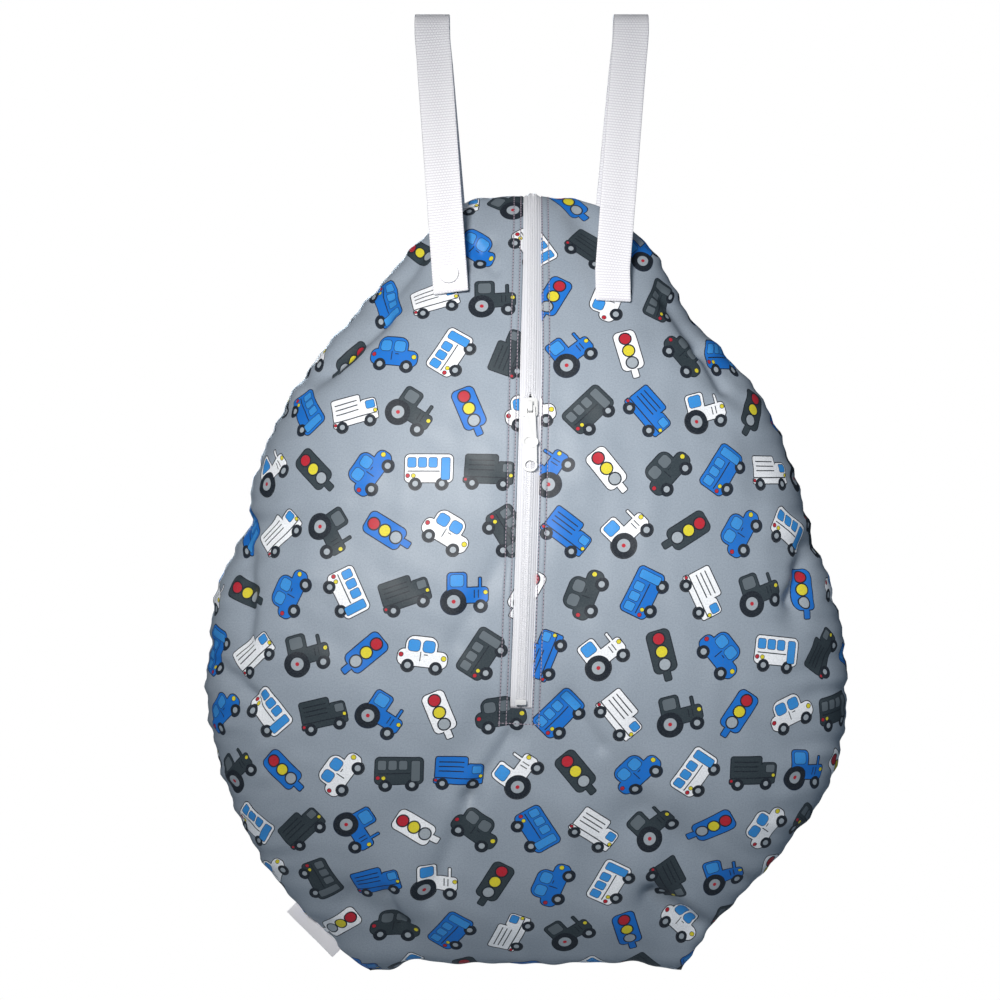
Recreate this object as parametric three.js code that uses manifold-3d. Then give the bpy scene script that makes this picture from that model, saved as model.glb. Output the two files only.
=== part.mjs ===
// Hanging wet bag: a plump drop-shaped bag of laminated cloth with a zip down its front,
// held up by two webbing straps that fold over a rail. Millimetres, +Z up, front towards -Y.
// The origin is the hanging line: the inner top of both strap loops, midway between them.
import * as THREE from "three";
import Module from "manifold-3d";

const wasm = await Module();
wasm.setup();

// Cloth bag
const bagWidth = 464; // widest, seam to seam
const seamHeight = 544.5; // bottom seam to top seam
const topSeamDrop = 137; // top seam below the hanging line
const frontBulge = 98; // fullest depth in front of the side seam
const backBulge = 74; // fullest depth behind the side seam
const cornerDrop = 12; // how far the two bottom corners hang below the bottom seam
const clothWall = 1.2;
const seamGap = 0.3; // between the two sewn panels
const plumpness = 2.4; // 2 is an ellipse, more is flatter in the middle and rounder at the seams
const foldDepth = 8; // deepest fold
const foldWidth = 20; // widest fold, half across
const cornerStart = 0.6; // the bottom corners drop from this share of the way to the seam
const cornerSpread = 0.35; // and are fully down after this further share
const foldFade = 12; // power by which folds fade towards the seams

// Zip
const zipLength = 360; // slot in the cloth, from the top seam down
const zipTopX = 4.4; // the zip runs slightly aslant
const zipEndX = -4.4;
const zipBend = 1.6; // 1 is a straight slant, more bends it near the lower end
const slotTopWidth = 12;
const slotEndWidth = 15.4;
const slotFlare = 0.35; // share of the zip's length over which the slot widens
const tapeHalfWidth = 15;
const tapeThickness = 1;
const tapeTail = 8; // tape below the slot's end
const coilHalfWidth = 3.4;
const coilProud = 0.5; // coil in front of the cloth's face
const coilGap = 0.5; // between the two rows of coil
const clearance = 0.4; // between pieces that touch or slide
const stopHeight = 3.8;
const stopThickness = 1.1;
const stopRise = 5; // bottom stop above the slot's end

// Slider and pull
const sliderDrop = 149.5; // slider's middle below the top seam
const sliderLength = 14;
const sliderWidth = 10.6;
const sliderPlate = 1.5;
const flangeWall = 1.2;
const neckWidth = 2;
const neckLength = 3;
const archWidth = 3.2;
const archOpening = 5.6; // between the arch's two legs
const archHeight = 3; // clear height under the arch
const archWall = 1.2;
const pullLength = 47.5;
const pullThickness = 1.4;
const pullTopWidth = 7;
const pullBar = 1.6; // the crossbar under the arch
const eyeWidth = 4.4;
const eyeHeight = 5.8; // from the crossbar's middle to the eye's lower end
const dimpleDrop = 26; // middle of the shallow oval below the pull's top edge
const dimpleWidth = 8.6;
const dimpleHeight = 6.6;
const dimpleDepth = 0.5;
const dimpleRim = 1.4;
const rimProud = 0.35; // the ovals' rims in front of the tongue
const ringHoleWidth = 7;
const ringHoleHeight = 6.6;
const ringRim = 1.5;
const pullRest = 3.5; // degrees the pull leans in from the slider's face, to rest on the zip

// Straps
const strapWidth = 25.4;
const strapThickness = 1.5;
const railRadius = 12; // inside of the loop
const hemLength = 24; // the strap's doubled end
const leftStrapTopX = -68;
const leftStrapEndX = -53.5;
const rightStrapTopX = 76;
const rightStrapEndX = 60.5;
const rearShift = -1.5; // the strap's rear leg is sewn further out
const leftStrapDrop = 69; // strap end below the top seam
const rightStrapDrop = 74;
const leftStrapLean = -0.12; // sideways shift of the end for each unit up
const rightStrapLean = 0.04;
const strapClearance = 0.5; // between a strap's end and the cloth, which is rounder
const strapUpright = 0.5; // how far a strap's front end turns from the cloth's slope to upright

// Snap and label
const snapRadius = 7.1;
const snapCapThickness = 1.8;
const socketRadius = 5.4;
const socketFootRadius = 3.8; // where the socket meets the cloth
const socketHeight = 3.2;
const labelLength = 47;
const labelWidth = 10.4;
const labelThickness = 1;
const labelRise = 0.045; // label's middle, as a share of the seam height
const labelWave = 0.5; // how far its free edge waves

const topSeam = -topSeamDrop;
const bottomSeam = topSeam - seamHeight;
const DEG = Math.PI / 180;
const FRONT = -1;
const BACK = 1;

// Horizontal sections from the bottom seam to the top seam. up is a share of the seam height,
// left and right of half the bag's width, front and back of the bulges, lean of the front bulge;
// tilt is the section's slope in degrees, and corner the share of the corner drop.
const sections = [
  { up: 0.000, left: 0.488, right: 0.488, front: 0, back: 0, lean: 0.1, tilt: -50, corner: 1 },
  { up: 0.008, left: 0.531, right: 0.504, front: 0.133, back: 0.14, lean: 0.09, tilt: -48, corner: 0.75 },
  { up: 0.020, left: 0.575, right: 0.534, front: 0.237, back: 0.26, lean: 0.08, tilt: -38, corner: 0.45 },
  { up: 0.042, left: 0.634, right: 0.575, front: 0.326, back: 0.37, lean: 0.07, tilt: -25, corner: 0.2 },
  { up: 0.068, left: 0.71, right: 0.64, front: 0.43, back: 0.5, lean: 0.06, tilt: -14, corner: 0 },
  { up: 0.108, left: 0.792, right: 0.735, front: 0.548, back: 0.64, lean: 0.04, tilt: -6, corner: 0 },
  { up: 0.155, left: 0.861, right: 0.828, front: 0.652, back: 0.77, lean: 0.02, tilt: 0, corner: 0 },
  { up: 0.221, left: 0.931, right: 0.938, front: 0.77, back: 0.9, lean: 0, tilt: 0, corner: 0 },
  { up: 0.288, left: 0.975, right: 0.988, front: 0.867, back: 0.97, lean: 0, tilt: 0, corner: 0 },
  { up: 0.354, left: 1.0, right: 1.0, front: 0.948, back: 1, lean: 0, tilt: 0, corner: 0 },
  { up: 0.422, left: 0.984, right: 0.991, front: 0.985, back: 1, lean: 0, tilt: 0, corner: 0 },
  { up: 0.474, left: 0.975, right: 0.963, front: 1, back: 1, lean: 0, tilt: 0, corner: 0 },
  { up: 0.521, left: 0.934, right: 0.931, front: 1, back: 0.99, lean: 0, tilt: 0, corner: 0 },
  { up: 0.551, left: 0.897, right: 0.894, front: 0.993, back: 0.98, lean: 0, tilt: 0, corner: 0 },
  { up: 0.575, left: 0.859, right: 0.884, front: 0.985, back: 0.97, lean: 0, tilt: 0, corner: 0 },
  { up: 0.608, left: 0.862, right: 0.862, front: 0.97, back: 0.96, lean: 0, tilt: 0, corner: 0 },
  { up: 0.662, left: 0.828, right: 0.822, front: 0.933, back: 0.92, lean: 0, tilt: 0, corner: 0 },
  { up: 0.741, left: 0.741, right: 0.738, front: 0.83, back: 0.83, lean: 0, tilt: 0, corner: 0 },
  { up: 0.808, left: 0.631, right: 0.607, front: 0.711, back: 0.72, lean: 0, tilt: 0, corner: 0 },
  { up: 0.845, left: 0.555, right: 0.523, front: 0.634, back: 0.65, lean: 0.01, tilt: 0, corner: 0 },
  { up: 0.875, left: 0.493, right: 0.48, front: 0.563, back: 0.58, lean: 0.02, tilt: 0, corner: 0 },
  { up: 0.926, left: 0.391, right: 0.418, front: 0.422, back: 0.45, lean: 0.04, tilt: 5, corner: 0 },
  { up: 0.957, left: 0.319, right: 0.353, front: 0.319, back: 0.35, lean: 0.05, tilt: 15, corner: 0 },
  { up: 0.978, left: 0.263, right: 0.281, front: 0.237, back: 0.26, lean: 0.07, tilt: 30, corner: 0 },
  { up: 0.993, left: 0.213, right: 0.206, front: 0.148, back: 0.17, lean: 0.08, tilt: 45, corner: 0 },
  { up: 1.000, left: 0.163, right: 0.131, front: 0, back: 0, lean: 0.09, tilt: 55, corner: 0 },
];

// Main folds of the front, each a valley along a line. x is a share of half the bag's width,
// up of the seam height, deep of the fold depth and wide of the fold width.
const folds = [
  { place: "left side pinch", fromX: -0.884, fromUp: 0.566, toX: -0.894, toUp: 0.445, deep: 0.85, wide: 0.6 },
  { place: "right side pinch", fromX: 0.89, fromUp: 0.544, toX: 0.825, toUp: 0.464, deep: 0.65, wide: 0.6 },
  { place: "left shoulder", fromX: -0.37, fromUp: 0.901, toX: -0.67, toUp: 0.762, deep: 0.6, wide: 0.7 },
  { place: "right shoulder", fromX: 0.5, fromUp: 0.871, toX: 0.67, toUp: 0.752, deep: 0.6, wide: 0.65 },
  { place: "below the zip, left", fromX: -0.1, fromUp: 0.326, toX: -0.32, toUp: 0.207, deep: 0.5, wide: 0.9 },
  { place: "below the zip, right", fromX: 0.12, fromUp: 0.345, toX: 0.24, toUp: 0.256, deep: 0.3, wide: 0.9 },
  { place: "bottom left corner", fromX: -0.54, fromUp: 0.078, toX: -0.38, toUp: 0.033, deep: 0.6, wide: 0.6 },
  { place: "bottom right corner", fromX: 0.39, fromUp: 0.078, toX: 0.5, toUp: 0.028, deep: 0.7, wide: 0.6 },
  { place: "top right", fromX: 0.16, fromUp: 0.985, toX: 0.22, toUp: 0.94, deep: 0.45, wide: 0.55 },
];

// The section at a place along the table: a whole number is a row, and between rows it is smooth.
function sectionAt(place) {
  const last = sections.length - 1;
  const row = Math.min(Math.floor(place), last - 1);
  const share = place - row;
  const near = [row - 1, row, row + 1, row + 2].map((i) => sections[Math.min(Math.max(i, 0), last)]);
  const section = {};
  for (const column of Object.keys(sections[0])) {
    const [a, b, c, d] = near.map((s) => s[column]);
    const bend = (2 * a - 5 * b + 4 * c - d) * share ** 2 + (3 * (b - c) + d - a) * share ** 3;
    section[column] = b + ((c - a) * share + bend) / 2;
  }
  return section;
}

const clampShare = (value) => Math.min(Math.max(value, 0), 1);
const smoothStep = (value) => clampShare(value) ** 2 * (3 - 2 * clampShare(value));

// The bag's outer face before its folds. across runs from -1 at the left seam to 1 at the right seam.
function plainSkin(face, across, place) {
  const section = sectionAt(place);
  const half = (bagWidth / 2) * (across < 0 ? section.left : section.right);
  const bulge = face === FRONT ? frontBulge * section.front : backBulge * section.back;
  const round = Math.max(0, 1 - Math.abs(across) ** plumpness) ** (1 / plumpness);
  const out = face * (seamGap / 2 + Math.max(bulge, 0) * round);
  const drop = cornerDrop * section.corner * smoothStep((Math.abs(across) - cornerStart) / cornerSpread);
  return new THREE.Vector3(
    across * half,
    frontBulge * section.lean + Math.cos(section.tilt * DEG) * out,
    bottomSeam + seamHeight * section.up - Math.sin(section.tilt * DEG) * out - drop,
  );
}

// How far the folds push the front face in at a point seen from the front.
function foldAt(x, z) {
  const seenAt = (shareX, up) => new THREE.Vector2((shareX * bagWidth) / 2, bottomSeam + up * seamHeight);
  let push = 0;
  for (const fold of folds) {
    const from = seenAt(fold.fromX, fold.fromUp);
    const along = seenAt(fold.toX, fold.toUp).sub(from);
    const offset = new THREE.Vector2(x, z).sub(from);
    offset.addScaledVector(along, -clampShare(offset.dot(along) / along.lengthSq()));
    push += fold.deep * foldDepth * Math.exp(-offset.lengthSq() / (fold.wide * foldWidth) ** 2);
  }
  return push;
}

// The outward direction of a face, from its slope across and along.
function outward(skinOf, face, across, place) {
  const step = 0.01;
  const top = sections.length - 1;
  const along = skinOf(face, across, Math.min(place + step, top));
  along.sub(skinOf(face, across, Math.max(place - step, 0)));
  const side = skinOf(face, Math.min(across + step, 1), place);
  side.sub(skinOf(face, Math.max(across - step, -1), place));
  return along.cross(side).multiplyScalar(face).normalize();
}

function skin(face, across, place) {
  const point = plainSkin(face, across, place);
  if (face === BACK) return point;
  const fromEnds = smoothStep(Math.min(place, sections.length - 1 - place) / 3);
  const push = (1 - Math.abs(across) ** foldFade) * fromEnds * foldAt(point.x, point.z);
  return point.addScaledVector(outward(plainSkin, face, across, place), -push);
}

// A point of the bag's face at a given x and section place, moved out by a distance.
function acrossAt(x, place) {
  const section = sectionAt(place);
  return x / ((bagWidth / 2) * (x < 0 ? section.left : section.right));
}

function offSkin(face, x, place, out) {
  const across = Math.min(Math.max(acrossAt(x, place), -1), 1);
  return skin(face, across, place).addScaledVector(outward(skin, face, across, place), out);
}

// The section place where a face has a given x and height.
function placeAt(face, x, z) {
  let low = 4;
  let high = sections.length - 2;
  for (let i = 0; i < 40; i++) {
    const middle = (low + high) / 2;
    if (offSkin(face, x, middle, 0).z < z) low = middle;
    else high = middle;
  }
  return (low + high) / 2;
}

// A closed solid from points and faces of three or four corners, turned so that it faces out.
function solid(points, faces) {
  const index = faces.flatMap((f) => (f.length === 4 ? [f[0], f[1], f[2], f[0], f[2], f[3]] : f));
  let volume = 0;
  for (let i = 0; i < index.length; i += 3) {
    const [a, b, c] = [points[index[i]], points[index[i + 1]], points[index[i + 2]]];
    volume += a.dot(new THREE.Vector3().crossVectors(b, c));
  }
  if (volume < 0) index.reverse();
  const geometry = new THREE.BufferGeometry();
  const flat = points.flatMap((point) => point.toArray());
  geometry.setAttribute("position", new THREE.Float32BufferAttribute(flat, 3));
  geometry.setIndex(index);
  geometry.computeVertexNormals();
  return geometry;
}

// A wall of cloth from two grids of points, its outer and inner faces, with the cells that are kept.
function clothSolid(outer, inner, kept) {
  const columns = outer[0].length;
  const count = outer.length * columns;
  const points = [...outer.flat(), ...inner.flat()];
  const faces = [];
  const isKept = (i, j) => i >= 0 && j >= 0 && i < outer.length - 1 && j < columns - 1 && kept(i, j);
  for (let i = 0; i < outer.length - 1; i++) {
    for (let j = 0; j < columns - 1; j++) {
      if (!isKept(i, j)) continue;
      const ring = [i * columns + j, i * columns + j + 1, (i + 1) * columns + j + 1, (i + 1) * columns + j];
      const beside = [isKept(i - 1, j), isKept(i, j + 1), isKept(i + 1, j), isKept(i, j - 1)];
      faces.push(ring, ring.map((v) => v + count).reverse());
      ring.forEach((v, k) => {
        const next = ring[(k + 1) % 4];
        if (!beside[k]) faces.push([next, v, v + count, next + count]);
      });
    }
  }
  return solid(points, faces);
}

// A solid swept through rings of points that all have the same corners; outline is one ring in 2D.
function lofted(rings, outline) {
  const corners = outline.length;
  const faces = [];
  for (let i = 0; i < rings.length - 1; i++) {
    for (let j = 0; j < corners; j++) {
      const next = (j + 1) % corners;
      faces.push([i * corners + j, i * corners + next, (i + 1) * corners + next, (i + 1) * corners + j]);
    }
  }
  const cap = THREE.ShapeUtils.triangulateShape(outline, []);
  const turned = THREE.ShapeUtils.isClockWise(outline);
  for (const [a, b, c] of cap) {
    const end = (rings.length - 1) * corners;
    faces.push(turned ? [a, b, c] : [a, c, b]);
    faces.push(turned ? [end + a, end + c, end + b] : [end + a, end + b, end + c]);
  }
  return solid(rings.flat(), faces);
}

const part = new THREE.Group();

function addPiece(name, geometry, material, group = part) {
  const mesh = new THREE.Mesh(geometry, material);
  mesh.name = name;
  group.add(mesh);
  return mesh;
}

const cloth = new THREE.MeshStandardMaterial({ color: 0x8d97a3, roughness: 0.6, side: THREE.DoubleSide });
const webbing = new THREE.MeshStandardMaterial({ color: 0xf1eff1, roughness: 0.8 });
const zipWhite = new THREE.MeshStandardMaterial({ color: 0xf4f4f6, roughness: 0.6 });
const enamel = new THREE.MeshStandardMaterial({ color: 0xf2f2f0, roughness: 0.35 });
const satin = new THREE.MeshStandardMaterial({ color: 0xf5f1f3, roughness: 0.5 });

// The zip's line: its x and the slot's half width at a section place.
function zipLine(place) {
  const z = bottomSeam + seamHeight * sectionAt(place).up;
  const share = Math.max((topSeam - z) / zipLength, 0);
  return {
    x: zipTopX + (zipEndX - zipTopX) * share ** zipBend,
    half: (slotTopWidth + (slotEndWidth - slotTopWidth) * smoothStep(share / slotFlare)) / 2,
  };
}

const lastPlace = sections.length - 1;
const zipEndPlace = placeAt(FRONT, zipEndX, topSeam - zipLength);

// Section places for the cloth's rows: every table row, with more between rows that lie far apart.
const rowStep = 17;
const rowPlaces = [];
for (let row = 0; row < lastPlace; row++) {
  const span = seamHeight * (sections[row + 1].up - sections[row].up);
  const parts = Math.max(1, Math.round(span / rowStep));
  for (let k = 0; k < parts; k++) rowPlaces.push(row + k / parts);
}
rowPlaces.push(lastPlace);
const endRow = rowPlaces.findIndex((place) => place > zipEndPlace);
const tapeEndPlace = placeAt(FRONT, zipEndX, topSeam - zipLength - tapeTail);
rowPlaces.splice(endRow - 1, 2, tapeEndPlace, zipEndPlace);

// Inner side of the cloth at a grid point. Along a seam both panels go straight in, side by side.
function innerPoint(face, across, place, point) {
  const onSide = Math.abs(across) === 1;
  const onEnd = place === 0 || place === lastPlace;
  const inwards = place === 0 ? 0.5 : lastPlace - 0.5;
  const samples = onSide && onEnd ? [[across * 0.95, place], [across, inwards]] : [[across, place]];
  const direction = new THREE.Vector3();
  for (const [sampleAcross, samplePlace] of samples) {
    direction.add(outward(skin, face, sampleAcross, samplePlace));
    if (onSide || onEnd) direction.add(outward(skin, -face, sampleAcross, samplePlace));
  }
  return point.clone().addScaledVector(direction.normalize(), -clothWall);
}

// Columns of both panels: the zip, its slot's edges, its tape's edges, and then ever closer to the seams.
const sideSteps = 12;

function columnsAt(place) {
  const zip = zipLine(place);
  const sides = [-1, 1].map((side) => {
    const slotEdge = acrossAt(zip.x + side * zip.half, place);
    const tapeEdge = acrossAt(zip.x + side * (tapeHalfWidth + 1), place);
    const shares = Array.from({ length: sideSteps }, (_, i) => 1 - (1 - i / (sideSteps - 1)) ** 1.8);
    return [slotEdge, ...shares.map((share) => tapeEdge + (side - tapeEdge) * share)];
  });
  return [...sides[0].reverse(), acrossAt(zip.x, place), ...sides[1]];
}

function panel(face, kept) {
  const outer = rowPlaces.map((place) => columnsAt(place).map((across) => skin(face, across, place)));
  const inner = rowPlaces.map((place, i) =>
    columnsAt(place).map((across, j) => innerPoint(face, across, place, outer[i][j])),
  );
  return clothSolid(outer, inner, kept);
}

function inSlot(i, j) {
  return (j === sideSteps || j === sideSteps + 1) && i >= rowPlaces.indexOf(zipEndPlace);
}

addPiece("front_panel", panel(FRONT, (i, j) => !inSlot(i, j)), cloth);
addPiece("back_panel", panel(BACK, () => true), cloth);

// Zip tapes, each with its row of coil. The rows part around the slider's neck and end at the stop.
const sliderPlace = placeAt(FRONT, zipTopX, topSeam - sliderDrop);
const neckRise = sliderLength / 2 - neckLength / 2;
const coilEnd = topSeam - zipLength + stopRise - stopHeight / 2;

function coilParting(z) {
  const away = (z - (topSeam - sliderDrop + neckRise)) / (neckLength * 1.2);
  return coilGap / 2 + (neckWidth / 2 + 1.5 * clearance) * Math.exp(-(away ** 2));
}

const tapePlaces = rowPlaces.filter((place) => place > zipEndPlace && place < lastPlace);
tapePlaces.push(tapeEndPlace, placeAt(FRONT, zipEndX, coilEnd - clearance));
tapePlaces.push(placeAt(FRONT, zipEndX, coilEnd));
for (let rise = -sliderLength / 2; rise <= sliderLength; rise += sliderLength / 8) {
  tapePlaces.push(placeAt(FRONT, zipTopX, topSeam - sliderDrop + rise));
}
tapePlaces.sort((a, b) => a - b);

function tapeHalf(side) {
  const behind = -clothWall - clearance;
  const outline = [
    [tapeHalfWidth, behind - tapeThickness],
    [tapeHalfWidth, behind],
    [coilHalfWidth, behind],
    [coilHalfWidth * 0.95, coilProud * 0.2],
    [coilHalfWidth * 0.75, coilProud],
    [coilHalfWidth * 0.3, coilProud],
    [coilHalfWidth * 0.05, coilProud * 0.2],
    [0, behind - tapeThickness],
  ].map(([s, h]) => new THREE.Vector2(s, h));
  const rings = tapePlaces.map((place) => {
    const middle = offSkin(FRONT, zipLine(place).x, place, 0);
    const shift = coilParting(middle.z);
    const coil = middle.z > coilEnd - clearance / 2 ? 1 : 0.05;
    return outline.map((corner) => {
      const parted = corner.x < tapeHalfWidth ? corner.x + shift : corner.x;
      const height = corner.y > behind ? behind + (corner.y - behind) * coil : corner.y;
      return offSkin(FRONT, zipLine(place).x + side * parted, place, height);
    });
  });
  return lofted(rings, outline);
}

addPiece("zip_tape_left", tapeHalf(-1), zipWhite);
addPiece("zip_tape_right", tapeHalf(1), zipWhite);

// A flat plate that faces the front, from its outline and holes in x and z.
function plate(outline, frontY, thickness, holes = []) {
  const shape = new THREE.Shape(outline);
  shape.holes = holes.map((hole) => new THREE.Path(hole));
  const geometry = new THREE.ExtrudeGeometry(shape, { depth: thickness, bevelEnabled: false });
  geometry.rotateX(Math.PI / 2);
  geometry.translate(0, frontY + thickness, 0);
  return geometry;
}

// A rounded rectangle, halfWidth to both sides and from low to high.
function rounded(halfWidth, low, high, corner, steps = 4) {
  const points = [];
  const quarters = [[1, 1], [-1, 1], [-1, -1], [1, -1]];
  quarters.forEach(([sideX, sideZ], quarter) => {
    const centreX = sideX * (halfWidth - corner);
    const centreZ = sideZ > 0 ? high - corner : low + corner;
    for (let k = 0; k <= steps; k++) {
      const angle = (quarter + k / steps) * 90 * DEG;
      const around = new THREE.Vector2(Math.cos(angle), Math.sin(angle)).multiplyScalar(corner);
      points.push(around.add(new THREE.Vector2(centreX, centreZ)));
    }
  });
  return points;
}

function oval(width, height, z, steps = 16) {
  return Array.from({ length: steps }, (_, i) => {
    const angle = (i / steps) * 360 * DEG;
    return new THREE.Vector2((width / 2) * Math.cos(angle), z + (height / 2) * Math.sin(angle));
  });
}

function block(low, high) {
  const geometry = new THREE.BoxGeometry(high[0] - low[0], high[1] - low[1], high[2] - low[2]);
  return geometry.translate((low[0] + high[0]) / 2, (low[1] + high[1]) / 2, (low[2] + high[2]) / 2);
}

// A closed mesh with its corners merged, so that solids can be joined and cut.
function manifoldOf(geometry) {
  const flat = geometry.index ? geometry.toNonIndexed() : geometry;
  const position = flat.getAttribute("position");
  const places = new Map();
  const vertices = [];
  const triangles = [];
  for (let i = 0; i < position.count; i++) {
    const point = [position.getX(i), position.getY(i), position.getZ(i)];
    const key = point.map((value) => value.toFixed(4)).join();
    if (!places.has(key)) {
      places.set(key, places.size);
      vertices.push(...point);
    }
    triangles.push(places.get(key));
  }
  const vertProperties = new Float32Array(vertices);
  const triVerts = new Uint32Array(triangles);
  return new wasm.Manifold(new wasm.Mesh({ numProp: 3, vertProperties, triVerts }));
}

function geometryOf(manifold) {
  const mesh = manifold.getMesh();
  const geometry = new THREE.BufferGeometry();
  geometry.setAttribute("position", new THREE.BufferAttribute(new Float32Array(mesh.vertProperties), 3));
  geometry.setIndex(new THREE.BufferAttribute(mesh.triVerts, 1));
  geometry.computeVertexNormals();
  return geometry;
}

const joined = (geometries) => geometries.map(manifoldOf).reduce((made, piece) => made.add(piece));

// A group that stands on the cloth's face, its -Y pointing away from the cloth.
function standOn(x, place, out) {
  const group = new THREE.Group();
  const normal = outward(skin, FRONT, acrossAt(x, place), place);
  group.position.copy(offSkin(FRONT, x, place, out));
  group.rotation.x = -Math.atan2(normal.z, -normal.y);
  part.add(group);
  return group;
}

// The slider: two plates joined by a neck between the rows of coil, flanges outside the coil, and an
// arch along its front that holds the pull. Its own Y runs from front to back.
const sliderGroup = standOn(zipLine(sliderPlace).x, sliderPlace, 0);
const plateBack = -coilProud - clearance;
const plateFront = plateBack - sliderPlate;
const lowerPlateFront = clothWall + clearance + tapeThickness + clearance;
const halfSlider = sliderLength / 2;
const archLeg = archOpening / 2 + archWall;
const archFront = plateFront - archHeight - archWall;
const lap = 0.2; // joined solids run this far into each other

function flange(side) {
  const inner = coilHalfWidth + coilGap / 2 + clearance;
  const ends = [side * inner, side * (inner + flangeWall)].sort((a, b) => a - b);
  return block([ends[0], plateBack - lap, -halfSlider + 2.4], [ends[1], clothWall - clearance / 2, -1]);
}

// The arch's side view, turned so that it is extruded across the slider.
function arch() {
  const outside = rounded(archLeg, archFront, plateBack - lap, 1.1, 3);
  const opening = rounded(archOpening / 2, plateFront - archHeight, plateFront, 0.7, 3);
  const geometry = plate(outside, -archWidth / 2, archWidth, [opening.reverse()]);
  return geometry.rotateX(-Math.PI / 2).rotateY(-Math.PI / 2);
}

addPiece("zip_slider", geometryOf(joined([
  plate(rounded(sliderWidth / 2, -halfSlider, halfSlider, 2.4), plateFront, sliderPlate),
  plate(rounded(sliderWidth / 2 - 0.5, -halfSlider, halfSlider, 2.4), lowerPlateFront, sliderPlate),
  block(
    [-neckWidth / 2, plateBack - lap, halfSlider - 0.5 - neckLength],
    [neckWidth / 2, lowerPlateFront + lap, halfSlider - 0.5],
  ),
  flange(-1),
  flange(1),
  arch(),
])), enamel, sliderGroup);

// The pull: a tongue with an eye round the arch, a shallow oval and an oval hole. It turns on the
// crossbar above its eye, which is trapped under the arch.
const pullGroup = new THREE.Group();
pullGroup.position.set(0, plateFront - archHeight / 2, 0);
pullGroup.rotation.x = pullRest * DEG;
sliderGroup.add(pullGroup);

function pullSolid() {
  const top = pullBar / 2;
  const dimple = top - dimpleDrop;
  const ringWidth = ringHoleWidth + 2 * ringRim;
  const ringHeight = ringHoleHeight + 2 * ringRim;
  const ring = top - pullLength + ringHeight / 2;
  const half = pullTopWidth / 2;
  const waist = ringWidth / 2 - 0.3;
  const tongue = [
    [half - 0.8, top], [-half + 0.8, top], [-half, top - 0.8],
    [-waist, dimple], [-waist, ring], [waist, ring], [waist, dimple], [half, top - 0.8],
  ].map(([x, z]) => new THREE.Vector2(x, z));
  const front = -pullThickness / 2;
  const face = front - rimProud - lap;
  const eye = rounded(eyeWidth / 2, -eyeHeight, -pullBar / 2, 1.6);
  const rim = oval(dimpleWidth + 2 * dimpleRim, dimpleHeight + 2 * dimpleRim, dimple, 24);
  const body = joined([
    plate(tongue, front, pullThickness),
    plate(rim, front - rimProud, pullThickness + rimProud),
    plate(oval(ringWidth, ringHeight, ring, 24), front - rimProud, pullThickness + rimProud),
  ]);
  const cuts = [
    plate(eye, face, pullThickness + rimProud + 2 * lap),
    plate(oval(dimpleWidth, dimpleHeight, dimple), face, dimpleDepth + rimProud + lap),
    plate(oval(ringHoleWidth, ringHoleHeight, ring), face, pullThickness + rimProud + 2 * lap),
  ].map(manifoldOf);
  return geometryOf(cuts.reduce((made, cut) => made.subtract(cut), body));
}

addPiece("zip_pull", pullSolid(), enamel, pullGroup);

// Bottom stop: a small clip in front of the coil's end.
const stopPlace = placeAt(FRONT, zipEndX, topSeam - zipLength + stopRise);
const stopOutline = rounded(coilHalfWidth + coilGap, -stopHeight / 2, stopHeight / 2, 0.8);
const stopGroup = standOn(zipLine(stopPlace).x, stopPlace, coilProud + 2 * clearance);
addPiece("zip_stop", plate(stopOutline, -stopThickness, stopThickness), enamel, stopGroup);

// A strap: a doubled front end flat on the cloth, a leg up to the rail, the fold over it, and the same
// down to the back. Each station has a middle point on the strap's outer face. A snapped strap's
// front end stands off the cloth, with room for the socket behind it.
function strapStations({ topX, endX, drop, lean, snapped }) {
  const flatEnd = (face, x) => {
    const place = placeAt(face, x, topSeam - drop + hemLength / 2);
    const out = outward(skin, face, acrossAt(x, place), place);
    const upright = face === FRONT ? strapUpright * Math.atan2(out.z, -out.y) : 0;
    const onSocket = snapped && face === FRONT;
    const room = onSocket ? socketHeight + 2 * clearance : strapClearance;
    const reach = onSocket ? socketFootRadius : hemLength / 2;
    const middle = offSkin(face, x, place, room + reach * Math.sin(upright) + 2 * strapThickness);
    out.applyAxisAngle(new THREE.Vector3(1, 0, 0), upright);
    const up = new THREE.Vector3(lean, 0, 1);
    up.addScaledVector(out, -up.dot(out)).normalize();
    return [-0.5, 0, 0.5].map((share) => {
      const point = middle.clone().addScaledVector(up, share * hemLength);
      return { point, out, thickness: 2 * strapThickness };
    });
  };
  const front = flatEnd(FRONT, endX);
  const back = flatEnd(BACK, endX - Math.sign(endX) * rearShift).reverse();

  const radius = railRadius + strapThickness;
  const touch = ({ point }) => {
    const fromRail = point.z + railRadius;
    return Math.atan2(fromRail, Math.abs(point.y)) + Math.acos(radius / Math.hypot(point.y, fromRail));
  };
  const start = touch(front[2]);
  const turn = Math.PI - touch(back[0]) - start;
  const loopSteps = 12;
  const loop = Array.from({ length: loopSteps + 1 }, (_, i) => {
    const angle = start + (turn * i) / loopSteps;
    const out = new THREE.Vector3(0, -Math.cos(angle), Math.sin(angle));
    const point = new THREE.Vector3(topX, 0, -railRadius).addScaledVector(out, radius);
    return { point, out, thickness: strapThickness };
  });

  const leg = (from, to) =>
    [0.06, 0.25, 0.45, 0.65, 0.85].map((share) => {
      const point = from.point.clone().lerp(to.point, share);
      const out = from.out.clone().lerp(to.out, share).normalize();
      return { point, out, thickness: strapThickness };
    });
  const rear = leg(back[0], loop[loopSteps]).reverse();
  return [...front, ...leg(front[2], loop[0]), ...loop, ...rear, ...back];
}

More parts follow.
